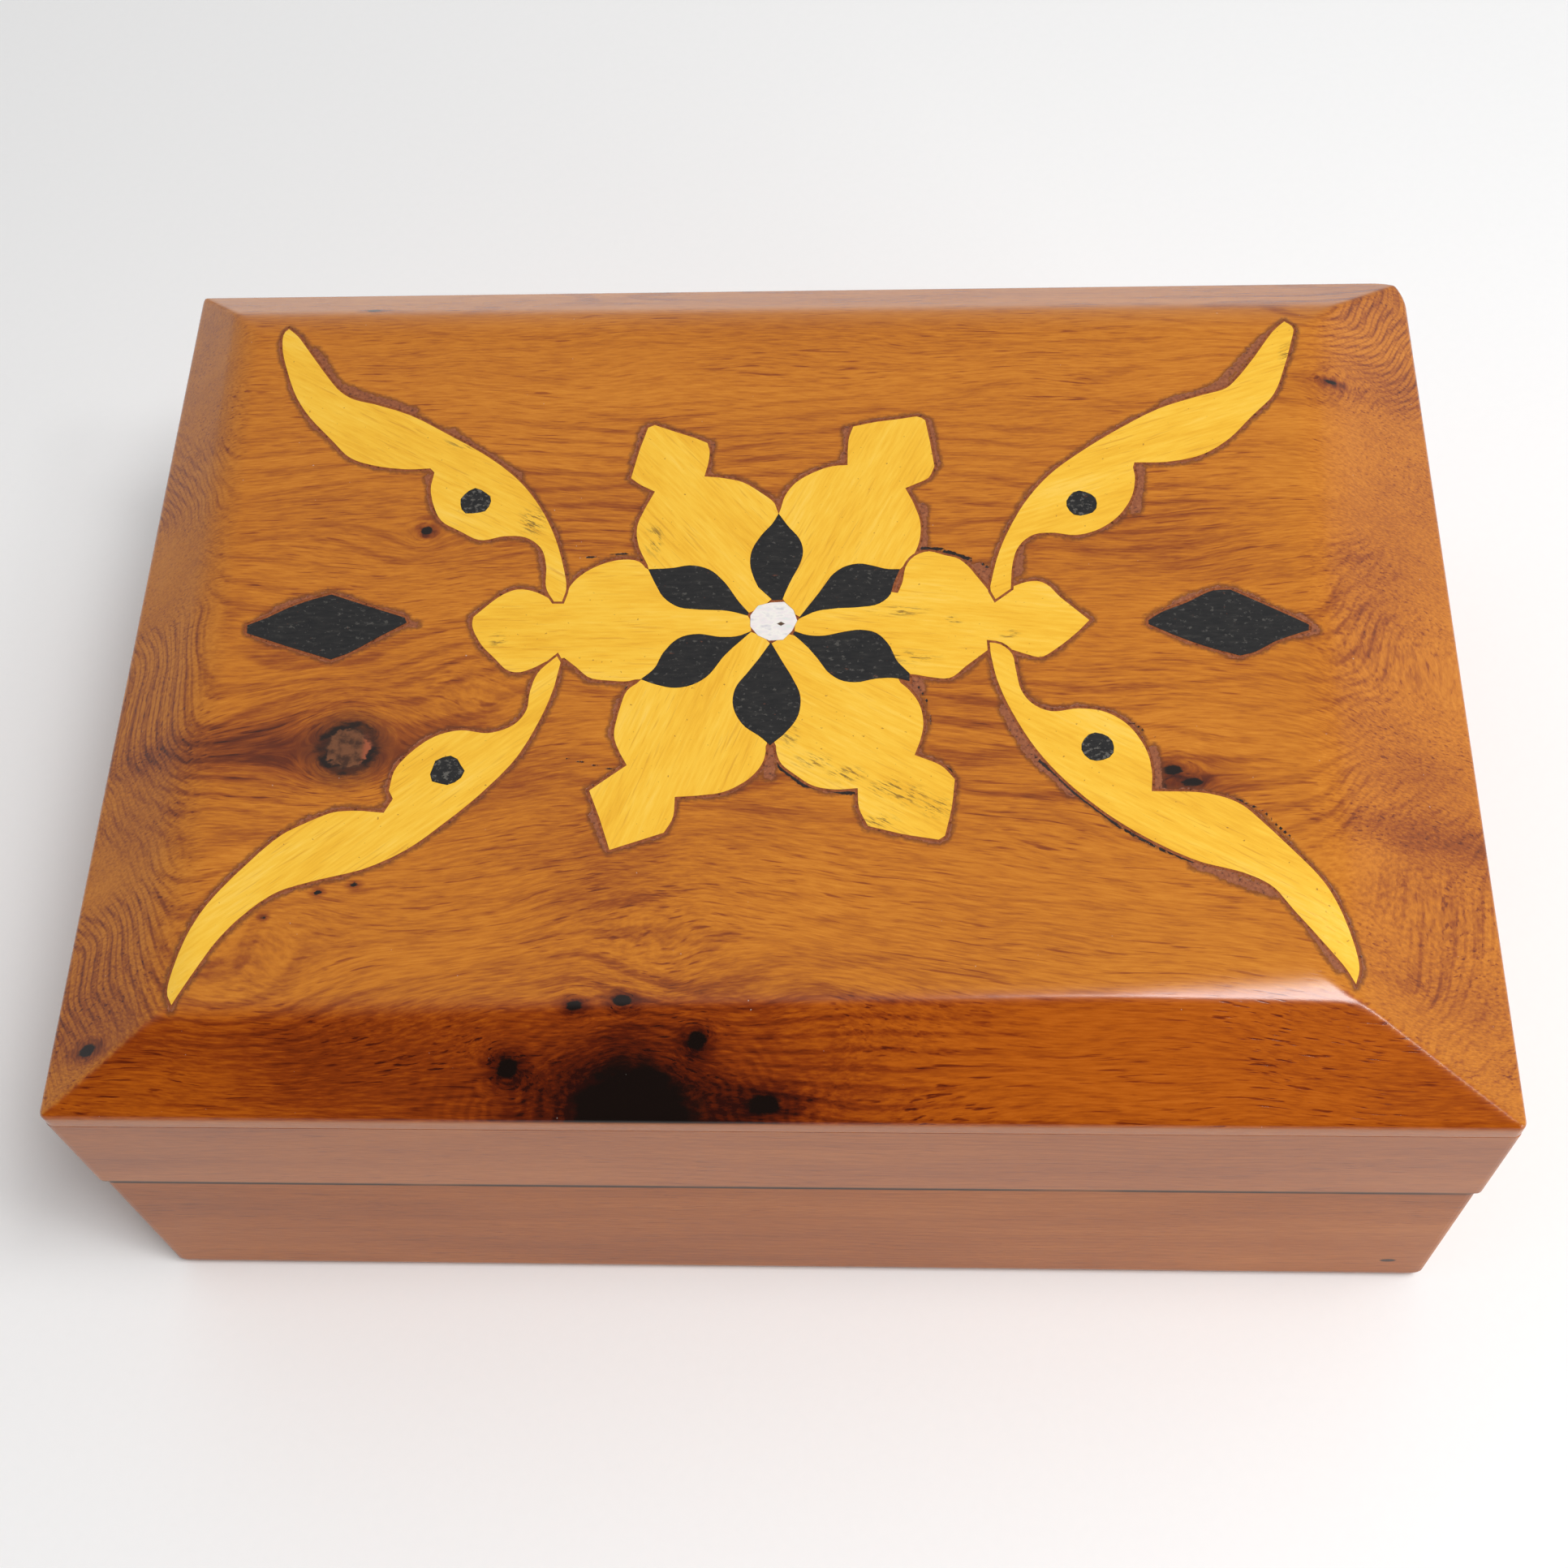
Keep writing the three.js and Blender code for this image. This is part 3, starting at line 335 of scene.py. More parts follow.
def side_drop(part, reach, slope):
    """How far one side's bevel lies below the flat, as a part of the whole fall."""
    width = reach / (1 - slope / 2)
    curved = slope / (2 * width) * np.maximum(1 + reach - part, 0) ** 2
    return np.where(part <= 1 + reach - width, 1 - part, curved)


def edge_distance(x, y):
    """The distance in from the panel's rounded outer edge."""
    distance = np.minimum(HALF_X - np.abs(x), HALF_Y - np.abs(y))
    for radius, (side_x, side_y) in zip(CORNER_RADII, CORNER_SIDES):
        past_x = side_x * x - (HALF_X - radius)
        past_y = side_y * y - (HALF_Y - radius)
        corner = (past_x > 0) & (past_y > 0)
        distance = np.where(corner, radius - np.hypot(past_x, past_y), distance)
    return distance


def surface(x, y):
    """The height of the lid's upper surface."""
    front_part, *other_parts = side_parts(x, y)
    front = side_drop(front_part, np.interp(x, FRONT_RIDGE_X, FRONT_RIDGE_REACH),
                      np.interp(x, FRONT_RIDGE_X, FRONT_RIDGE_SLOPE))
    right, back, left = [side_drop(part, *curve) for part, curve in zip(other_parts, SOFT_RIDGES)]
    drop = soft_most(soft_most(front, back), soft_most(right, left))
    past = np.clip(1 - edge_distance(x, y) / ARRIS, 0, 1)
    rounding = ARRIS * (1 - np.sqrt(1 - past ** 2))
    return LID_TOP - BEVEL_FALL * np.clip(drop, 0, 1) - rounding


def graded(half):
    """Grid lines across the panel, closer together along its rounded edges."""
    edge = np.array(EDGE_LINES)
    inner = half - edge[-1]
    middle = np.linspace(-inner, inner, math.ceil(2 * inner / GRID_STEP))
    return np.concatenate([edge - half, middle[1:-1], half - edge[::-1]])


def rounded_plan(x, y):
    """Moves the points of a square-cornered grid into the panel's rounded corners."""
    for radius, (side_x, side_y) in zip(CORNER_RADII, CORNER_SIDES):
        past_x = side_x * x - (HALF_X - radius)
        past_y = side_y * y - (HALF_Y - radius)
        corner = (past_x > 0) & (past_y > 0)
        square = np.maximum(past_x, past_y)
        shrink = np.where(corner, square / np.maximum(np.hypot(past_x, past_y), 1e-6), 1)
        x = np.where(corner, side_x * (HALF_X - radius + past_x * shrink), x)
        y = np.where(corner, side_y * (HALF_Y - radius + past_y * shrink), y)
    return x, y


def mesh_object(name, points, faces):
    mesh = bpy.data.meshes.new(name)
    mesh.from_pydata([tuple(map(float, p)) for p in points], [], faces)
    made = bpy.data.objects.new(name, mesh)
    bpy.context.scene.collection.objects.link(made)
    return made


def panel_form(name, sunk=0.0):
    """The whole panel as one closed fine mesh, its upper surface sunk by a little."""
    xs = graded(HALF_X)
    ys = graded(HALF_Y)
    grid_x, grid_y = np.meshgrid(xs, ys)
    x, y = rounded_plan(grid_x.ravel(), grid_y.ravel())
    top = np.stack([x, y, surface(x, y) - sunk], axis=1)
    columns, rows = len(xs), len(ys)
    faces = []
    for row in range(rows - 1):
        for column in range(columns - 1):
            a = row * columns + column
            faces.append((a, a + 1, a + columns + 1, a + columns))
    rim = list(range(columns))
    rim += [row * columns + columns - 1 for row in range(1, rows)]
    rim += [(rows - 1) * columns + column for column in range(columns - 2, -1, -1)]
    rim += [row * columns for row in range(rows - 2, 0, -1)]
    points = [top]
    count = len(top)
    above = rim
    for lift, inset in ((UPRIGHT_RING, 0.0), (GLUE_LINE, 0.0), (0.0, GLUE_LINE)):
        ring = top[rim].copy()
        ring[:, 0] *= 1 - inset / HALF_X
        ring[:, 1] *= 1 - inset / HALF_Y
        ring[:, 2] = PANEL_BOTTOM + lift
        points.append(ring)
        below = list(range(count, count + len(rim)))
        for i in range(len(rim)):
            j = (i + 1) % len(rim)
            faces.append((above[j], above[i], below[i], below[j]))
        count += len(rim)
        above = below
    faces.append(tuple(reversed(above)))
    return mesh_object(name, np.concatenate(points), faces)


def prisms(name, rings):
    """Upright solids on the rings, from the inlays' floor to above the lid."""
    points = []
    faces = []
    for ring in rings:
        count = len(ring)
        first = sum(len(p) for p in points)
        for level in (INLAY_FLOOR, LID_TOP + ABOVE):
            points.append(np.column_stack([ring, np.full(count, level)]))
        faces.append(tuple(range(first + count - 1, first - 1, -1)))
        faces.append(tuple(range(first + count, first + 2 * count)))
        for i in range(count):
            j = (i + 1) % count
            faces.append((first + i, first + j, first + count + j, first + count + i))
    return mesh_object(name, np.concatenate(points), faces)


def carve(subject, operation, tool):
    """Replaces the subject's mesh with the result of a boolean with the tool."""
    modifier = subject.modifiers.new("carve", "BOOLEAN")
    modifier.operation = operation
    modifier.solver = "MANIFOLD"
    modifier.object = tool
    depsgraph = bpy.context.evaluated_depsgraph_get()
    result = bpy.data.meshes.new_from_object(subject.evaluated_get(depsgraph))
    subject.modifiers.clear()
    subject.data = result


def carve_rings(subject, operation, rings):
    tool = prisms("tool", rings)
    carve(subject, operation, tool)
    bpy.data.objects.remove(tool)


def copy_of(source, name):
    made = bpy.data.objects.new(name, source.data.copy())
    bpy.context.scene.collection.objects.link(made)
    return made


def points_of(mesh):
    flat = np.empty(3 * len(mesh.vertices))
    mesh.vertices.foreach_get("co", flat)
    return flat.reshape(-1, 3)


def paint(mesh, name, values):
    """Stores one number or one vector for each point, for the materials to read."""
    vector = values.ndim == 2
    attribute = mesh.attributes.new(name, "FLOAT_VECTOR" if vector else "FLOAT", "POINT")
    attribute.data.foreach_set("vector" if vector else "value", values.astype(np.float32).ravel())


def finish_piece(piece, material, body, nodes):
    """Brings a piece from millimetres to metres, hangs it on its body's empty and hides the CAD
    nodes it replaces.
    """
    piece.data.name = piece.name
    piece.data.transform(Matrix.Scale(MM, 4))
    piece.data.polygons.foreach_set("use_smooth", [True] * len(piece.data.polygons))
    piece.data.set_sharp_from_angle(angle=SMOOTH_ANGLE)
    piece.data.materials.clear()
    piece.data.materials.append(material)
    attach(piece, body)
    if nodes:
        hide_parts(*nodes)


# ------------------------------------------------------------ painted numbers

def polyline_depth(points, marks):
    """The distance to the nearest mark's edge, negative inside the mark."""
    depth = np.full(len(points), FAR)
    for half_width, line in marks:
        line = np.array(line)
        gap, _ = nearest(points, line[:-1], line[1:])
        depth = np.minimum(depth, gap - half_width)
    return depth


def ellipse_distance(points, ellipse):
    """The distance from an ellipse's middle, as a part of its radius."""
    x, y, radius_x, radius_y = ellipse
    return np.hypot((points[:, 0] - x) / radius_x, (points[:, 1] - y) / radius_y)


def outline_distance(points, rings):
    """The distance to the nearest outline."""
    marks = np.concatenate([divided(ring, MARK_STEP) for ring in rings])
    tree = KDTree(len(marks))
    for i, (x, y) in enumerate(marks):
        tree.insert((x, y, 0), i)
    tree.balance()
    return np.array([tree.find((x, y, 0))[2] for x, y in points])


def grain_flow(points):
    """Coordinates along, across and through the panel's grain, which parts round the knots."""
    x, y, z = points.T
    along = x.copy()
    across = y.copy()
    for knot_x, knot_y, radius, gentleness in FLOWS:
        away_x = x - knot_x
        away_y = y - knot_y
        push = radius ** 2 / (away_x ** 2 * 0.6 + away_y ** 2 + gentleness * radius ** 2)
        across -= away_y * push
        along += away_x * push
    return np.column_stack([along, across, z])


def bevel_weights(x, y):
    """How much each point is on the front bevel, on a bevel at either end, and on the
    panel's upright edge."""
    parts = np.array(side_parts(x, y))
    side = parts.argmin(axis=0)
    front_fade = np.interp(x, FRONT_RIDGE_X, FRONT_RIDGE_FADE)
    fade = np.where(side == 0, front_fade, OTHER_RIDGE_FADE)
    bevel = np.clip((1 + fade / 2 - parts.min(axis=0)) / fade, 0, 1)
    upright = np.clip(1 - edge_distance(x, y) / UPRIGHT_FADE, 0, 1)
    return np.column_stack([bevel * (side == 0), bevel * (side % 2 == 1), upright])


def paint_panel(mesh, pocket_rings):
    """Everything the panel's material reads: grain, marks, knots and bevels."""
    points = points_of(mesh)
    plan = points[:, :2]
    paint(mesh, "grain", grain_flow(points))
    joint = np.minimum(outline_distance(plan, pocket_rings), polyline_depth(plan, FILLED))
    tone = np.zeros(len(plan))
    for x, y, radius_x, radius_y, amount in TONES:
        tone += amount * np.exp(-ellipse_distance(plan, (x, y, radius_x, radius_y)) ** 2)
    paint(mesh, "marks", np.column_stack([joint, polyline_depth(plan, CRACKS), tone]))
    small = np.min([ellipse_distance(plan, knot) for knot in SMALL_KNOTS], axis=0)
    eye = ellipse_distance(plan, EYE_KNOT)
    great = ellipse_distance(plan, GREAT_KNOT)
    paint(mesh, "knots", np.column_stack([small, eye, great]))
    paint(mesh, "bevel", bevel_weights(*plan.T))


def paint_inlay(mesh, angle):
    """Grain coordinates at an angle to the box, and stains."""
    points = points_of(mesh)
    turn = math.radians(angle)
    x, y, z = points.T
    along = x * math.cos(turn) + y * math.sin(turn)
    across = y * math.cos(turn) - x * math.sin(turn)
    paint(mesh, "grain", np.column_stack([along, across, z]))
    stain = np.min([ellipse_distance(points[:, :2], s) for s in STAINS], axis=0)
    paint(mesh, "stain", stain)


# ------------------------------------------------------------------- materials

class Shader:
    """One material's nodes.  Each method adds a node and returns its output."""

    def __init__(self, name):
        self.material = bpy.data.materials.new(name)
        self.material.use_nodes = True
        self.tree = self.material.node_tree
        self.surface = self.tree.nodes["Principled BSDF"]

    def node(self, kind, inputs, output=0, **settings):
        node = self.tree.nodes.new(kind)
        for key, value in settings.items():
            setattr(node, key, value)
        for socket, value in inputs.items():
            self.feed(node.inputs[socket], value)
        return node.outputs[output]

    def feed(self, socket, value):
        if isinstance(value, bpy.types.NodeSocket):
            self.tree.links.new(value, socket)
        else:
            socket.default_value = value

    def attribute(self, name, output="Vector"):
        return self.node("ShaderNodeAttribute", {}, output, attribute_name=name)

    def position(self):
        """The place in the box's own frame, in millimetres."""
        place = self.node("ShaderNodeTexCoord", {}, "Object")
        return self.stretched(place, (1 / MM, 1 / MM, 1 / MM))

    def stretched(self, vector, factors):
        return self.node("ShaderNodeVectorMath", {0: vector, 1: factors}, operation="MULTIPLY")

    def split(self, vector):
        node = self.tree.nodes.new("ShaderNodeSeparateXYZ")
        self.feed(node.inputs[0], vector)
        return node.outputs

    def joined(self, x, y, z):
        return self.node("ShaderNodeCombineXYZ", {0: x, 1: y, 2: z})

    def math(self, operation, a, b=0.0, c=0.0):
        return self.node("ShaderNodeMath", {0: a, 1: b, 2: c}, operation=operation)

    def noise(self, vector, factors=(1, 1, 1), detail=2.0, roughness=0.5):
        """Noise from 0 to 1, with the factors as its frequencies along the three axes."""
        scaled = self.stretched(vector, factors)
        return self.node("ShaderNodeTexNoise", {"Vector": scaled, "Scale": 1.0, "Detail": detail,
                                                "Roughness": roughness})

    def swing(self, vector, factors, detail=2.0, roughness=0.5):
        """The same noise from -0.5 to 0.5."""
        return self.math("SUBTRACT", self.noise(vector, factors, detail, roughness), 0.5)

    def summed(self, *parts):
        """The sum of some values, each times its weight."""
        total = 0.0
        for value, weight in parts:
            total = self.math("MULTIPLY_ADD", value, weight, total)
        return total

    def ranged(self, value, low, high, start=0.0, end=1.0):
        """A smooth step from start, where the value is low, to end, where it is high."""
        inputs = {"Value": value, "From Min": low, "From Max": high, "To Min": start, "To Max": end}
        return self.node("ShaderNodeMapRange", inputs, interpolation_type="SMOOTHSTEP")

    def mixed(self, factor, a, b):
        def colour(value):
            return value if isinstance(value, bpy.types.NodeSocket) else (*value, 1.0)

        return self.node("ShaderNodeMix", {0: factor, 6: colour(a), 7: colour(b)}, 2,
                         data_type="RGBA")

    def ramp(self, value, stops):
        node = self.tree.nodes.new("ShaderNodeValToRGB")
        elements = node.color_ramp.elements
        while len(elements) < len(stops):
            elements.new(0.5)
        for element, (place, colour) in zip(elements, stops):
            element.position = place
            element.color = (*colour, 1.0)
        self.feed(node.inputs[0], value)
        return node.outputs[0]

    def finish(self, colour, roughness, height, bump=0.02, **settings):
        """Sets the surface: colour, roughness and a bump of that many millimetres."""
        self.feed(self.surface.inputs["Base Color"], colour)
        self.feed(self.surface.inputs["Roughness"], roughness)
        for socket, value in settings.items():
            self.surface.inputs[socket.replace("_", " ")].default_value = value
        normal = self.node("ShaderNodeBump", {"Strength": 1.0, "Distance": bump * MM,
                                              "Height": height})
        self.feed(self.surface.inputs["Normal"], normal)
        return self.material


THUYA_STOPS = [
    (0.00, (0.030, 0.004, 0.001)),
    (0.22, (0.130, 0.020, 0.001)),
    (0.42, (0.300, 0.066, 0.003)),
    (0.62, (0.520, 0.160, 0.006)),
    (0.80, (0.640, 0.225, 0.015)),
    (1.00, (0.720, 0.300, 0.045)),
]
BOARD_STOPS = [
    (0.10, (0.130, 0.030, 0.006)),
    (0.40, (0.310, 0.080, 0.015)),
    (0.62, (0.430, 0.125, 0.022)),
    (0.85, (0.550, 0.185, 0.040)),
]
FILLER = (0.240, 0.064, 0.020)
CAVITY = (0.012, 0.005, 0.004)
KNOT_BLACK = (0.006, 0.002, 0.001)
KNOT_BROWN = (0.170, 0.060, 0.022)
KNOT_RED = (0.330, 0.080, 0.030)
SPECK = (0.62, 0.55, 0.48)
SOAKED = (0.120, 0.028, 0.006)  # wood that has drawn in glue, beside a joint
# painted shade and grime in the seam between lid and base
SEAM_SHADE_AND_GRIME_COLOUR = (0.030, 0.010, 0.005)
# painted shade on the front bevel, which is drawn darker and redder than the flat
FRONT_BEVEL_SHADE = (0.84, 0.58, 0.50)  # the front bevel's colour, as parts of the flat's


def wood_flow(shader, grain):
    """Grain coordinates bent a little to and fro, as real fibres run."""
    drift = shader.noise(grain, (0.03, 0.07, 0.07), 2.0)
    along, across, through = shader.split(grain)
    across = shader.math("MULTIPLY_ADD", drift, 5.0, across)
    return shader.joined(along, across, through)


def grain_value(shader, flow, bands, streaks, fibres):
    """A number around 0.62 that varies as the wood's colour does: broad bands,
    streaks and fibres, each by its own amount."""
    value = 0.62
    for amount, factors, detail in ((bands, (0.016, 0.11, 0.11), 2.0),
                                    (streaks, (0.060, 0.80, 0.80), 2.0),
                                    (fibres, (0.40, 4.30, 4.30), 3.0)):
        part = shader.swing(flow, factors, detail, 0.6)
        value = shader.math("MULTIPLY_ADD", part, amount, value)
    return value


def dashes(shader, grain, amount):
    """Short dark pores along the grain, from 0 to the amount."""
    spots = shader.noise(grain, (0.22, 3.6, 3.6), 2.0, 0.5)
    patches = shader.noise(grain, (0.05, 0.16, 0.16), 2.0)
    spots = shader.ranged(spots, 0.58, 0.70)
    patches = shader.ranged(patches, 0.36, 0.62, 0.2, 1.0)
    return shader.math("MULTIPLY", shader.math("MULTIPLY", spots, patches), amount)


def growth_lines(shader, flow, slant, pitch):
    """Fine curved lines where a cut crosses the rings, from 0 to 1.  The rings lie
    pitch radians apart in depth, and slant is how fast they run off across the grain."""
    wander = shader.noise(flow, (0.018, 0.05, 0.05), 2.0)
    _, across, through = shader.split(flow)
    depth = shader.math("MULTIPLY_ADD", through, 1.1, shader.math("MULTIPLY", across, slant))
    rings = shader.math("MULTIPLY_ADD", wander, 26.0 * slant, depth)
    wave = shader.math("SINE", shader.math("MULTIPLY", rings, pitch))
    patches = shader.noise(flow, (0.02, 0.06, 0.06), 2.0)
    return shader.math("MULTIPLY", shader.ranged(wave, 0.0, 1.0),
                       shader.ranged(patches, 0.42, 0.62))


def knot_shade(shader, value, edge, reach, depth):
    """Darkens the wood from that many radii out up to a knot's edge."""
    return shader.math("SUBTRACT", value, shader.ranged(edge, reach, 0.9, 0.0, depth))


def panel_grain(shader, flow, tone, front, end):
    """The panel's value where it has no knots, and its pores."""
    value = shader.math("ADD", grain_value(shader, flow, 0.38, 0.12, 0.56), tone)
    value = shader.math("MULTIPLY_ADD", growth_lines(shader, flow, 0.5, 4.6), -0.13, value)
    contours = shader.math("MULTIPLY", growth_lines(shader, flow, 0.32, 12.0), end)
    value = shader.math("MULTIPLY_ADD", contours, -0.13, value)
    pores = dashes(shader, flow, shader.math("MULTIPLY_ADD", front, 0.12, 0.20))
    value = shader.math("SUBTRACT", value, pores)
    # painted shade: the front bevel a little darker
    return shader.math("MULTIPLY_ADD", front, -0.06, value), pores


def knot_rings(shader, great, sway, place):
    """Broken rings of darker grain around the great knot."""
    turns = shader.summed((great, 34.0), (sway, 24.0))
    rings = shader.ranged(shader.math("SINE", turns), -0.8, 1.0, -0.03, 0.07)
    broken = shader.noise(place, (0.16, 0.16, 0.16), 2.0)
    broken = shader.ranged(broken, 0.36, 0.58, 0.2, 1.0)
    near = shader.math("MULTIPLY", shader.ranged(great, 3.8, 1.4), broken)
    return shader.math("MULTIPLY", rings, near)


def joints_and_cracks(shader, colour, joint, crack, place):
    """Darkens the wood along the inlays, fills the joint and opens the cracks.  Returns
    the colour, how much of it is filler and how much is open crack."""
    fine = shader.swing(place, (1.9, 1.9, 1.9), 3.0, 0.65)
    drift = shader.swing(place, (0.35, 0.35, 0.35), 2.0)
    reach = shader.math("MULTIPLY_ADD", fine, 0.8, joint)
    reach = shader.math("MULTIPLY_ADD", drift, 0.9, reach)
    colour = shader.mixed(shader.ranged(reach, 0.65, 0.12, 0.0, 0.70), colour, SOAKED)
    filled = shader.ranged(reach, 0.12, 0.0)
    colour = shader.mixed(filled, colour, filler_colour(shader, place))
    split = shader.math("MULTIPLY_ADD", fine, 0.28, crack)
    open_crack = shader.ranged(split, 0.06, -0.02)
    return shader.mixed(open_crack, colour, CAVITY), filled, open_crack


def thuya_panel():
    """Varnished thuya with knots, pores, filled joints and cracks, and painted shade on the front
    bevel.
    """
    shader = Shader("thuya_panel")
    place = shader.position()
    flow = wood_flow(shader, shader.attribute("grain"))
    joint, crack, tone = shader.split(shader.attribute("marks"))
    small, eye, great = shader.split(shader.attribute("knots"))
    front, end, upright = shader.split(shader.attribute("bevel"))

    loose = shader.swing(place, (0.8, 1.3, 1.3), 3.0, 0.6)
    sway = shader.swing(place, (0.12, 0.20, 0.20), 3.0, 0.6)
    small_edge = shader.math("MULTIPLY_ADD", loose, 0.9, small)
    great_edge = shader.math("MULTIPLY_ADD", sway, 1.5, great)
    great_edge = shader.math("MULTIPLY_ADD", loose, 0.22, great_edge)

    value, pores = panel_grain(shader, flow, tone, front, end)
    value = knot_shade(shader, value, small_edge, 3.0, 0.22)
    value = knot_shade(shader, value, great_edge, 2.1, 0.22)
    value = shader.math("SUBTRACT", value, knot_rings(shader, great, sway, place))
    colour = shader.ramp(value, THUYA_STOPS)
    # painted shade: the front bevel darker and redder than the flat
    colour = shader.mixed(front, colour, shader.stretched(colour, FRONT_BEVEL_SHADE))
    colour = shader.mixed(shader.ranged(small_edge, 1.15, 0.80), colour, KNOT_BLACK)
    colour = shader.mixed(shader.ranged(great_edge, 1.20, 0.86), colour, KNOT_BLACK)
    colour = eye_knot(shader, colour, eye, loose, place)
    specks = shader.noise(place, (2.4, 2.4, 2.4), 1.0, 0.3)
    colour = shader.mixed(shader.ranged(specks, 0.835, 0.850, 0.0, 0.5), colour, SPECK)
    colour, filled, open_crack = joints_and_cracks(shader, colour, joint, crack, place)
    edge_value = grain_value(shader, flow, 0.30, 0.20, 0.45)
    colour = shader.mixed(upright, colour, shader.ramp(edge_value, BOARD_STOPS))

    rough = shader.math("MULTIPLY_ADD", filled, 0.50, 0.20)
    wave = shader.noise(place, (0.10, 0.10, 0.10), 2.0)
    relief = shader.summed((wave, 2.0), (pores, -0.8), (open_crack, -4.0), (filled, -1.2))
    return shader.finish(colour, rough, relief)


def eye_knot(shader, colour, eye, loose, place):
    """A round knot: a ragged black ring about a brown heart with a red crescent."""
    edge = shader.math("MULTIPLY_ADD", loose, 0.6, eye)
    heart = shader.noise(place, (0.9, 0.9, 0.9), 3.0, 0.6)
    brown = shader.mixed(shader.ranged(heart, 0.30, 0.62), (0.050, 0.016, 0.006), KNOT_BROWN)
    x, _, _ = shader.split(place)
    right = shader.ranged(x, EYE_KNOT[0] + CRESCENT[0], EYE_KNOT[0] + CRESCENT[1])
    crescent = shader.math("MULTIPLY", right, shader.ranged(heart, 0.36, 0.46))
    brown = shader.mixed(crescent, brown, KNOT_RED)
    patchy = shader.noise(place, (0.30, 0.45, 0.45), 2.0)
    ring = shader.math("MULTIPLY", shader.ranged(edge, 0.70, 0.80), shader.ranged(edge, 1.25, 0.95))
    ring = shader.math("MULTIPLY", ring, shader.ranged(patchy, 0.38, 0.52, 0.60, 0.95))
    colour = shader.mixed(shader.ranged(edge, 2.0, 0.9, 0.0, 0.7), colour, (0.100, 0.022, 0.004))
    colour = shader.mixed(shader.ranged(edge, 0.92, 0.74), colour, brown)
    return shader.mixed(ring, colour, KNOT_BLACK)


def filler_colour(shader, place):
    """Dark red-brown putty of wood dust and glue, with paler crumbs."""
    crumbs = shader.noise(place, (2.6, 2.6, 2.6), 3.0, 0.7)
    return shader.ramp(crumbs, [(0.30, (0.060, 0.016, 0.006)), (0.42, FILLER),
                                (0.60, (0.310, 0.092, 0.030)), (0.75, (0.420, 0.150, 0.055))])


def filler():
    """Filler in the gaps that are left around the inlays, rough and dull."""
    shader = Shader("filler")
    place = shader.position()
    crumbs = shader.noise(place, (3.0, 3.0, 3.0), 3.0, 0.7)
    return shader.finish(filler_colour(shader, place), 0.80, crumbs, 0.04,
                         Specular_IOR_Level=0.2)


def knot_distance(shader, place):
    """The distance from the small knot in the base's front board."""
    x, y, z = shader.split(place)
    knot_x, knot_z = BASE_KNOT
    height = shader.math("MULTIPLY", shader.math("SUBTRACT", z, knot_z), 1.8)
    away = shader.joined(shader.math("SUBTRACT", x, knot_x), shader.math("MAXIMUM", y, 0.0), height)
    return shader.node("ShaderNodeVectorMath", {0: away}, 1, operation="LENGTH")


def outward(shader, place, inset_x, inset_y):
    """How far a point lies outside an upright box of these half sizes."""
    x, y, _ = shader.split(place)
    past_x = shader.math("SUBTRACT", shader.math("ABSOLUTE", x), inset_x)
    past_y = shader.math("SUBTRACT", shader.math("ABSOLUTE", y), inset_y)
    return shader.math("MAXIMUM", past_x, past_y)


def thuya_board(name, lengthwise, inset_x, inset_y, rim, gloss):
    """Boards with their grain along X or Y, varnished outside and bare inside and at
    the rim, with painted shade and grime in the seam."""
    shader = Shader(name)
    place = shader.position()
    x, y, z = shader.split(place)
    grain = shader.joined(x, y, z) if lengthwise else shader.joined(y, x, z)
    flow = wood_flow(shader, grain)
    value = grain_value(shader, flow, 0.60, 0.20, 0.45)
    value = shader.math("MULTIPLY_ADD", growth_lines(shader, flow, 0.5, 4.6), -0.07, value)
    pores = dashes(shader, flow, 0.20)
    value = shader.math("SUBTRACT", value, pores)
    outside = shader.ramp(value, BOARD_STOPS)
    if lengthwise:
        knot = shader.ranged(knot_distance(shader, place), 1.1, 0.7, 0.0, 0.9)
        outside = shader.mixed(knot, outside, KNOT_BLACK)

    rim_gap = shader.math("ABSOLUTE", shader.math("SUBTRACT", z, rim))
    # Painted shade and grime: a blotchy dark band beside the rim, deepest on the base's long boards
    # below the lid's overhang.
    seam_patchiness = shader.noise(place, (0.05, 0.05, 0.05), 3.0)
    shade_and_grime_height = FRONT_SHADE_AND_GRIME_HEIGHT if rim == BASE_TOP and lengthwise else SEAM_SHADE_AND_GRIME_HEIGHT
    seam_shade_and_grime = shader.math("MULTIPLY", shader.ranged(rim_gap, shade_and_grime_height, shade_and_grime_height - 0.25, 0.0, 0.97),
                        shader.ranged(seam_patchiness, 0.30, 0.50, 0.5, 1.0))
    outside = shader.mixed(seam_shade_and_grime, outside, SEAM_SHADE_AND_GRIME_COLOUR)
    varnish = shader.ranged(outward(shader, place, inset_x, inset_y), 0.0, 0.4)
    varnish = shader.math("MULTIPLY", varnish, shader.ranged(rim_gap, 0.02, 0.06))
    colour = shader.mixed(varnish, bare_colour(shader, value), outside)
    rough = shader.math("MULTIPLY_ADD", varnish, -0.28, 0.60)
    wave = shader.noise(place, (0.12, 0.12, 0.12), 2.0)
    relief = shader.summed((wave, 2.0), (pores, -1.5))
    return shader.finish(colour, rough, relief, Specular_IOR_Level=gloss)


def bare_colour(shader, value):
    """The colour of wood without varnish."""
    return shader.ramp(value, [(0.15, (0.200, 0.085, 0.030)), (0.50, (0.420, 0.210, 0.085)),
                               (0.90, (0.560, 0.320, 0.150))])


def bare_thuya():
    """Sanded wood without varnish, as it is inside the box."""
    shader = Shader("bare_thuya")
    flow = wood_flow(shader, shader.position())
    pores = dashes(shader, flow, 0.16)
    value = shader.math("SUBTRACT", grain_value(shader, flow, 0.6, 0.4, 0.4), pores)
    return shader.finish(bare_colour(shader, value), 0.62, shader.math("MULTIPLY", pores, -1.0))


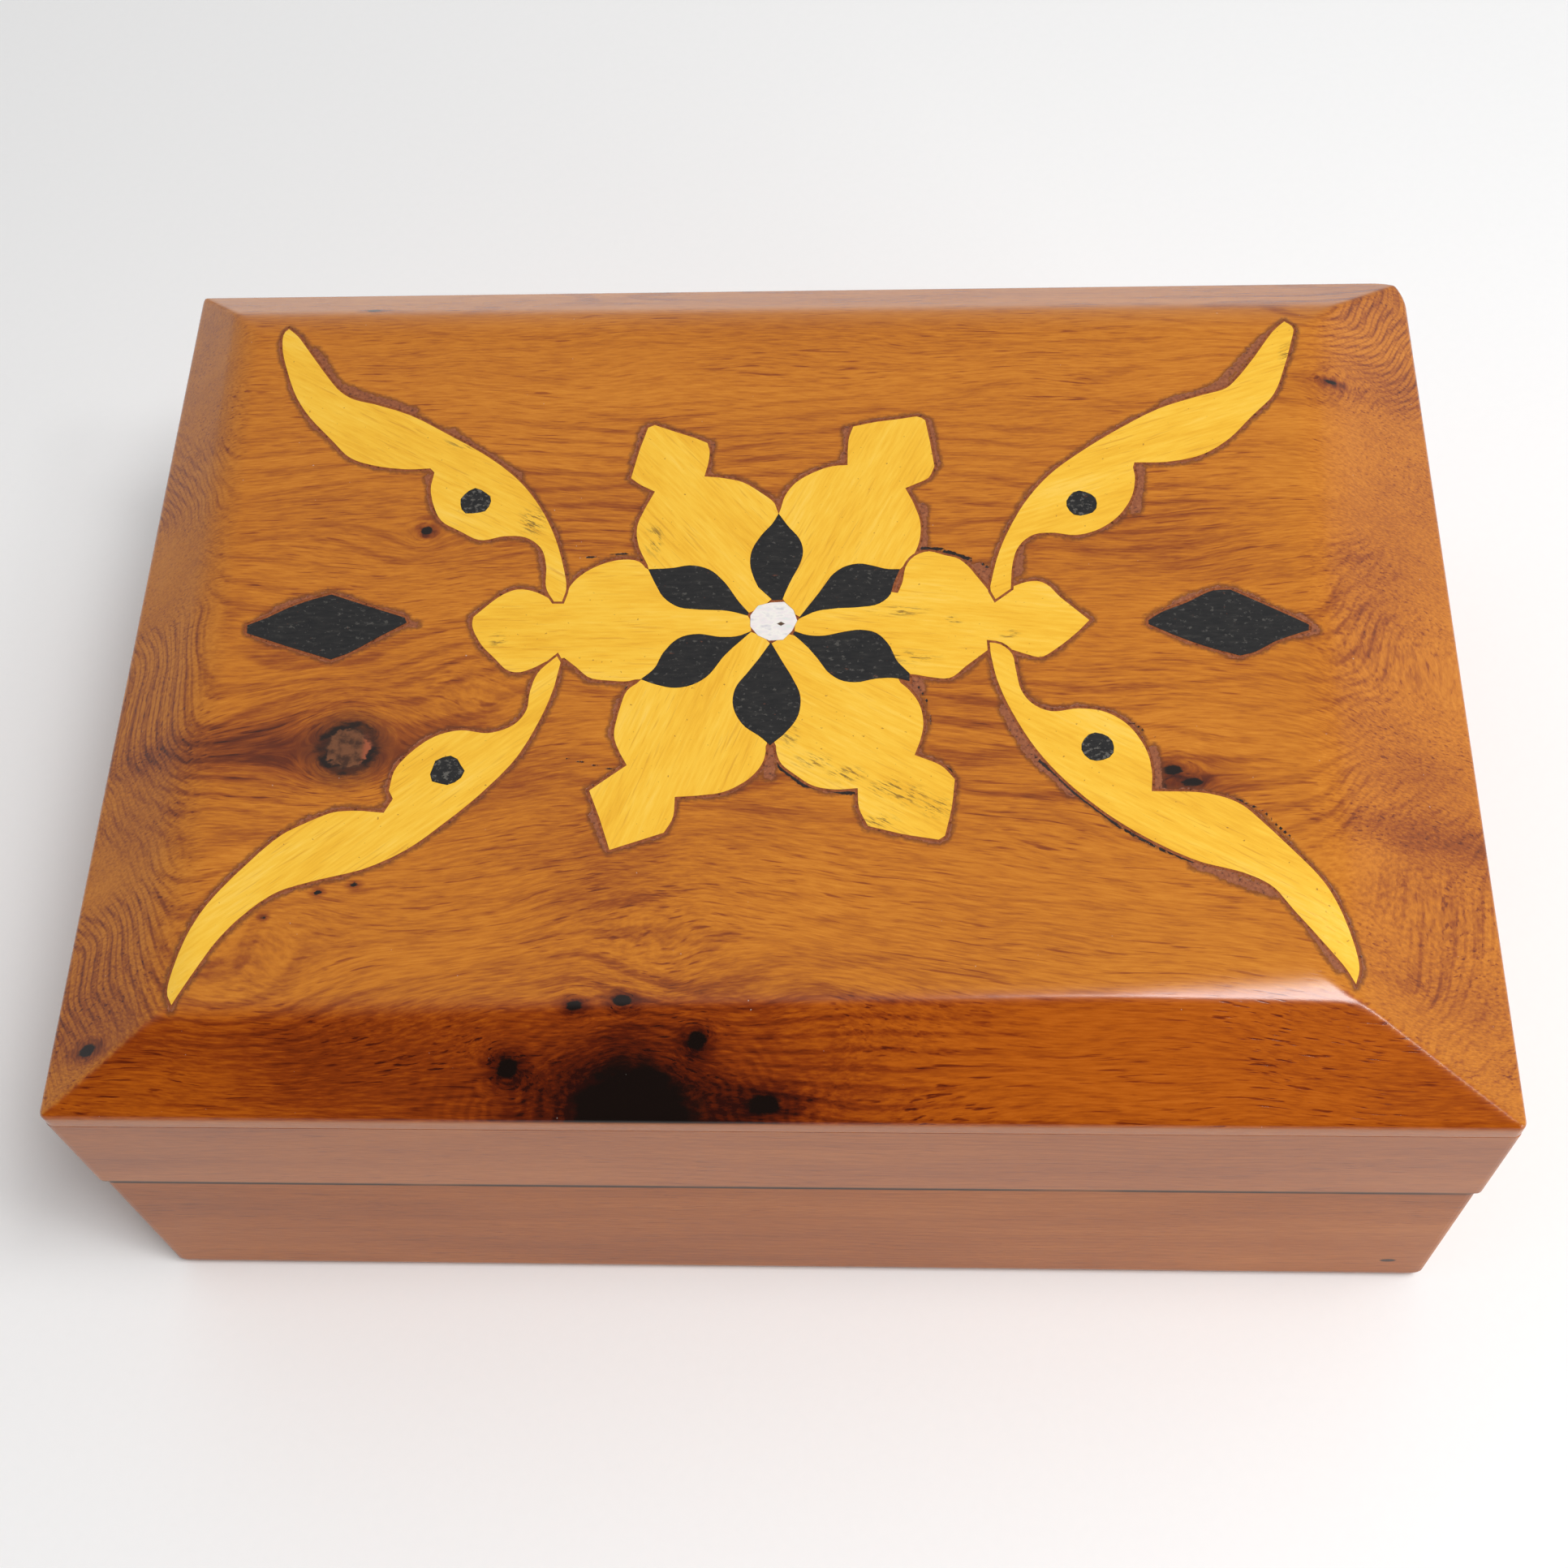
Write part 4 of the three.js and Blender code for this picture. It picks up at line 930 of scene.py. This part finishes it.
def lemonwood():
    """Pale yellow wood with fine pores, specks and patches of mould."""
    shader = Shader("lemonwood")
    place = shader.position()
    grain = shader.attribute("grain")
    stain = shader.attribute("stain", "Fac")
    fibres = shader.noise(grain, (0.30, 2.8, 2.8), 3.0, 0.6)
    bands = shader.noise(grain, (0.05, 0.24, 0.24), 2.0)
    value = shader.math("MULTIPLY_ADD", bands, 0.50, shader.math("MULTIPLY", fibres, 0.50))
    colour = shader.ramp(value, [(0.32, (0.800, 0.400, 0.015)), (0.46, (0.880, 0.480, 0.026)),
                                 (0.56, (0.910, 0.530, 0.040)), (0.68, (0.930, 0.580, 0.080))])
    pores = dashes(shader, grain, 0.45)
    colour = shader.mixed(pores, colour, (0.560, 0.230, 0.012))
    mould = shader.noise(grain, (0.40, 3.0, 3.0), 4.0, 0.7)
    near = shader.ranged(stain, 1.9, 0.3)
    patch = shader.math("MULTIPLY", near, shader.ranged(mould, 0.49, 0.60))
    colour = shader.mixed(shader.math("MULTIPLY", patch, 0.80), colour, (0.110, 0.050, 0.012))
    specks = shader.noise(place, (2.0, 2.0, 2.0), 2.0, 0.5)
    colour = shader.mixed(shader.ranged(specks, 0.70, 0.76, 0.0, 0.7), colour, (0.30, 0.12, 0.015))
    return shader.finish(colour, 0.32, fibres, 0.01)


def ebony(name, grey):
    """Black wood; grey is how much of it is pale worn pores."""
    shader = Shader(name)
    place = shader.position()
    fibres = shader.noise(place, (0.6, 2.4, 2.4), 3.0, 0.6)
    colour = shader.ramp(fibres, [(0.30, (0.003, 0.003, 0.004)), (0.60, (0.011, 0.010, 0.010)),
                                  (0.80, (0.035, 0.032, 0.028))])
    pores = shader.noise(place, (1.5, 2.1, 2.1), 3.0, 0.7)
    edge = 0.59 - 0.06 * grey
    colour = shader.mixed(shader.ranged(pores, edge, edge + 0.08, 0.0, 0.45 + 0.3 * grey), colour,
                          (0.130, 0.120, 0.105))
    reds = shader.noise(place, (0.9, 1.5, 1.5), 3.0, 0.6)
    colour = shader.mixed(shader.ranged(reds, 0.68, 0.73, 0.0, 0.7), colour, (0.140, 0.045, 0.022))
    return shader.finish(colour, 0.34, pores)


def mother_of_pearl():
    """Shell in cloudy layers with a small dark slit in the middle."""
    shader = Shader("mother_of_pearl")
    place = shader.position()
    layers = shader.noise(place, (0.6, 1.2, 1.0), 3.0, 0.5)
    colour = shader.ramp(layers, [(0.30, (0.60, 0.57, 0.62)), (0.45, (0.86, 0.82, 0.76)),
                                  (0.56, (0.82, 0.74, 0.74)), (0.70, (0.70, 0.76, 0.70))])
    x, y, _ = shader.split(place)
    slit = shader.math("ADD", shader.math("MULTIPLY", shader.math("ABSOLUTE", y), 1.6),
                       shader.math("ABSOLUTE", shader.math("SUBTRACT", x, 0.1)))
    colour = shader.mixed(shader.ranged(slit, 0.55, 0.35), colour, (0.10, 0.055, 0.03))
    return shader.finish(colour, 0.16, layers, 0.03)


def brass():
    """Tarnished brass with fine scratches along the hinges."""
    shader = Shader("brass")
    place = shader.position()
    patches = shader.noise(place, (0.35, 0.35, 0.35), 4.0, 0.6)
    colour = shader.ramp(patches, [(0.35, (0.240, 0.130, 0.040)), (0.50, (0.560, 0.380, 0.130)),
                                   (0.70, (0.740, 0.540, 0.230))])
    scratches = shader.noise(place, (0.8, 9.0, 9.0), 2.0, 0.6)
    rough = shader.math("MULTIPLY_ADD", patches, -0.35, 0.60)
    return shader.finish(colour, rough, scratches, 0.015, Metallic=1.0)


# ---------------------------------------------------------------------- pieces

def build_lid_top():
    """The panel, its inlays and the filler between them."""
    form = panel_form("form")
    sunk = panel_form("sunk_form", FILLER_SUNK)
    pockets = rings_at("lid_panel", INLAY_FLOOR)
    pockets = [divided(ring, OUTLINE_STEP) for ring in pockets]
    outer = [ring for ring in pockets if turned_area(ring) > 0]
    islands = [ring[::-1] for ring in pockets if turned_area(ring) < 0]

    black = {name: inlay_rings(name) for name in BLACK + [SHELL]}
    targets = [ring for rings in black.values() for ring in rings]
    pale = {}
    for name in PALE:
        rings = [divided(ring, OUTLINE_STEP) for ring in inlay_rings(name)]
        pale[name] = [closed_up(ring, targets) for ring in rings]

    pocket_tool = prisms("pocket_tool", outer)
    if islands:
        carve_rings(pocket_tool, "DIFFERENCE", islands)

    panel = copy_of(form, "lid_panel_wood")
    carve(panel, "DIFFERENCE", pocket_tool)
    paint_panel(panel.data, pockets)
    finish_piece(panel, thuya_panel(), "lid", ["lid_panel"])
    underside(panel)

    putty = copy_of(sunk, "inlay_filler")
    carve(putty, "INTERSECT", pocket_tool)

    looks = {"lemonwood": lemonwood(), "ebony": ebony("ebony", 0.0),
             "mother_of_pearl": mother_of_pearl()}
    pegs = ebony("ebony_pegs", 1.0)
    for name, rings in {**black, **pale}.items():
        slot = slot_of(name)
        piece = copy_of(form, name + "_inlay")
        solid = [ring for ring in rings if turned_area(ring) > 0]
        holes = [ring[::-1] for ring in rings if turned_area(ring) < 0]
        carve_rings(piece, "INTERSECT", solid)
        carve_rings(putty, "DIFFERENCE", solid)
        if holes:
            carve_rings(piece, "DIFFERENCE", holes)
        paint_inlay(piece.data, GRAIN_ANGLES.get(name, 0))
        look = pegs if name.startswith("dot_") else looks[slot]
        finish_piece(piece, look, "lid", [name])
    finish_piece(putty, filler(), "lid", [])
    for tool in (form, sunk, pocket_tool):
        bpy.data.objects.remove(tool)


def slot_of(name):
    if name == SHELL:
        return "mother_of_pearl"
    return "lemonwood" if name in PALE else "ebony"


def underside(panel):
    """The panel's underside, seen in the open lid, is bare wood."""
    panel.data.materials.append(bare_thuya())
    for polygon in panel.data.polygons:
        low = polygon.center.z < (PANEL_BOTTOM + TOUCH) * MM
        polygon.material_index = 1 if low else 0


def dress(node, material, ease):
    """Gives a CAD node its material and eases its edges."""
    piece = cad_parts[node]
    piece.data.materials.clear()
    piece.data.materials.append(material)
    if ease:
        modifier = piece.modifiers.new("eased_edges", "BEVEL")
        modifier.width = ease * MM
        modifier.segments = 2
        modifier.limit_method = "ANGLE"
        modifier.angle_limit = EASE_ANGLE
        modifier.harden_normals = True


def dress_boards():
    """The base's boards and the lid's glossier rails."""
    for part, kind, half_x, half_y, rim, gloss in (
            ("base", "board", BASE_HALF_X, BASE_HALF_Y, BASE_TOP, 0.15),
            ("lid", "rail", HALF_X, HALF_Y, LID_BOTTOM, 0.36)):
        inset_x = half_x - WALL + VARNISH_START
        inset_y = half_y - WALL + VARNISH_START
        along_x = thuya_board(f"{part}_wood_along_x", True, inset_x, inset_y, rim, gloss)
        along_y = thuya_board(f"{part}_wood_along_y", False, inset_x, inset_y, rim, gloss)
        for side in ("front", "back"):
            dress(f"{part}_{side}_{kind}", along_x, BOARD_EASE)
        for side in ("left", "right"):
            dress(f"{part}_{side}_{kind}", along_y, BOARD_EASE)
    dress("base_bottom_panel", bare_thuya(), 0)


def dress_hinges():
    metal = brass()
    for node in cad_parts:
        if node.startswith("hinge_"):
            dress(node, metal, LEAF_EASE if node.endswith("leaf") else 0)


# ----------------------------------------------------------------------- stage

def build_stage():
    """A pale floor, soft studio light, and a camera above and in front of the box."""
    corners = [(side_x * FLOOR_REACH, side_y * FLOOR_REACH, 0) for side_x, side_y in CORNER_SIDES]
    floor = mesh_object("floor", corners, [(0, 1, 2, 3)])
    shader = Shader("floor_paper")
    tooth = shader.noise(shader.position(), (0.8, 0.8, 0.8), 3.0)
    tint = shader.mixed(tooth, (0.94, 0.94, 0.94), (0.96, 0.96, 0.96))
    floor.data.materials.append(shader.finish(tint, 0.9, tooth))

    build_world()
    for name, place, size, power in LIGHTS:
        soft_box(name, place, size, power)

    camera = bpy.data.cameras.new("camera")
    camera.sensor_width = SENSOR_WIDTH
    camera.lens = CAMERA_LENS
    seat = bpy.data.objects.new("camera", camera)
    seat.location = CAMERA_PLACE
    seat.rotation_euler = CAMERA_TURN
    bpy.context.scene.collection.objects.link(seat)
    bpy.context.scene.camera = seat
    bpy.context.scene.view_settings.view_transform = "Standard"


def build_world():
    """Even white surroundings, darker in front of the box, where the camera stands."""
    world = bpy.data.worlds.new("studio")
    world.use_nodes = True
    tree = world.node_tree
    direction = tree.nodes.new("ShaderNodeTexCoord").outputs["Generated"]
    split = tree.nodes.new("ShaderNodeSeparateXYZ")
    tree.links.new(direction, split.inputs[0])
    fade = tree.nodes.new("ShaderNodeMapRange")
    fade.interpolation_type = "SMOOTHSTEP"
    limits = WORLD_TURN + WORLD_STRENGTH
    for socket, value in zip(("From Min", "From Max", "To Min", "To Max"), limits):
        fade.inputs[socket].default_value = value
    tree.links.new(split.outputs["Y"], fade.inputs["Value"])
    background = tree.nodes["Background"]
    background.inputs["Color"].default_value = (1.0, 1.0, 1.0, 1.0)
    tree.links.new(fade.outputs[0], background.inputs["Strength"])
    bpy.context.scene.world = world


def soft_box(name, place, size, power):
    """A rectangular light that faces the box."""
    light = bpy.data.lights.new(name, "AREA")
    light.shape = "RECTANGLE"
    light.size, light.size_y = size
    light.energy = power
    lamp = bpy.data.objects.new(name, light)
    lamp.location = place
    aim = Vector(LIGHT_AIM) - Vector(place)
    lamp.rotation_euler = aim.to_track_quat("-Z", "Y").to_euler()
    bpy.context.scene.collection.objects.link(lamp)


build_lid_top()
dress_boards()
dress_hinges()
build_stage()
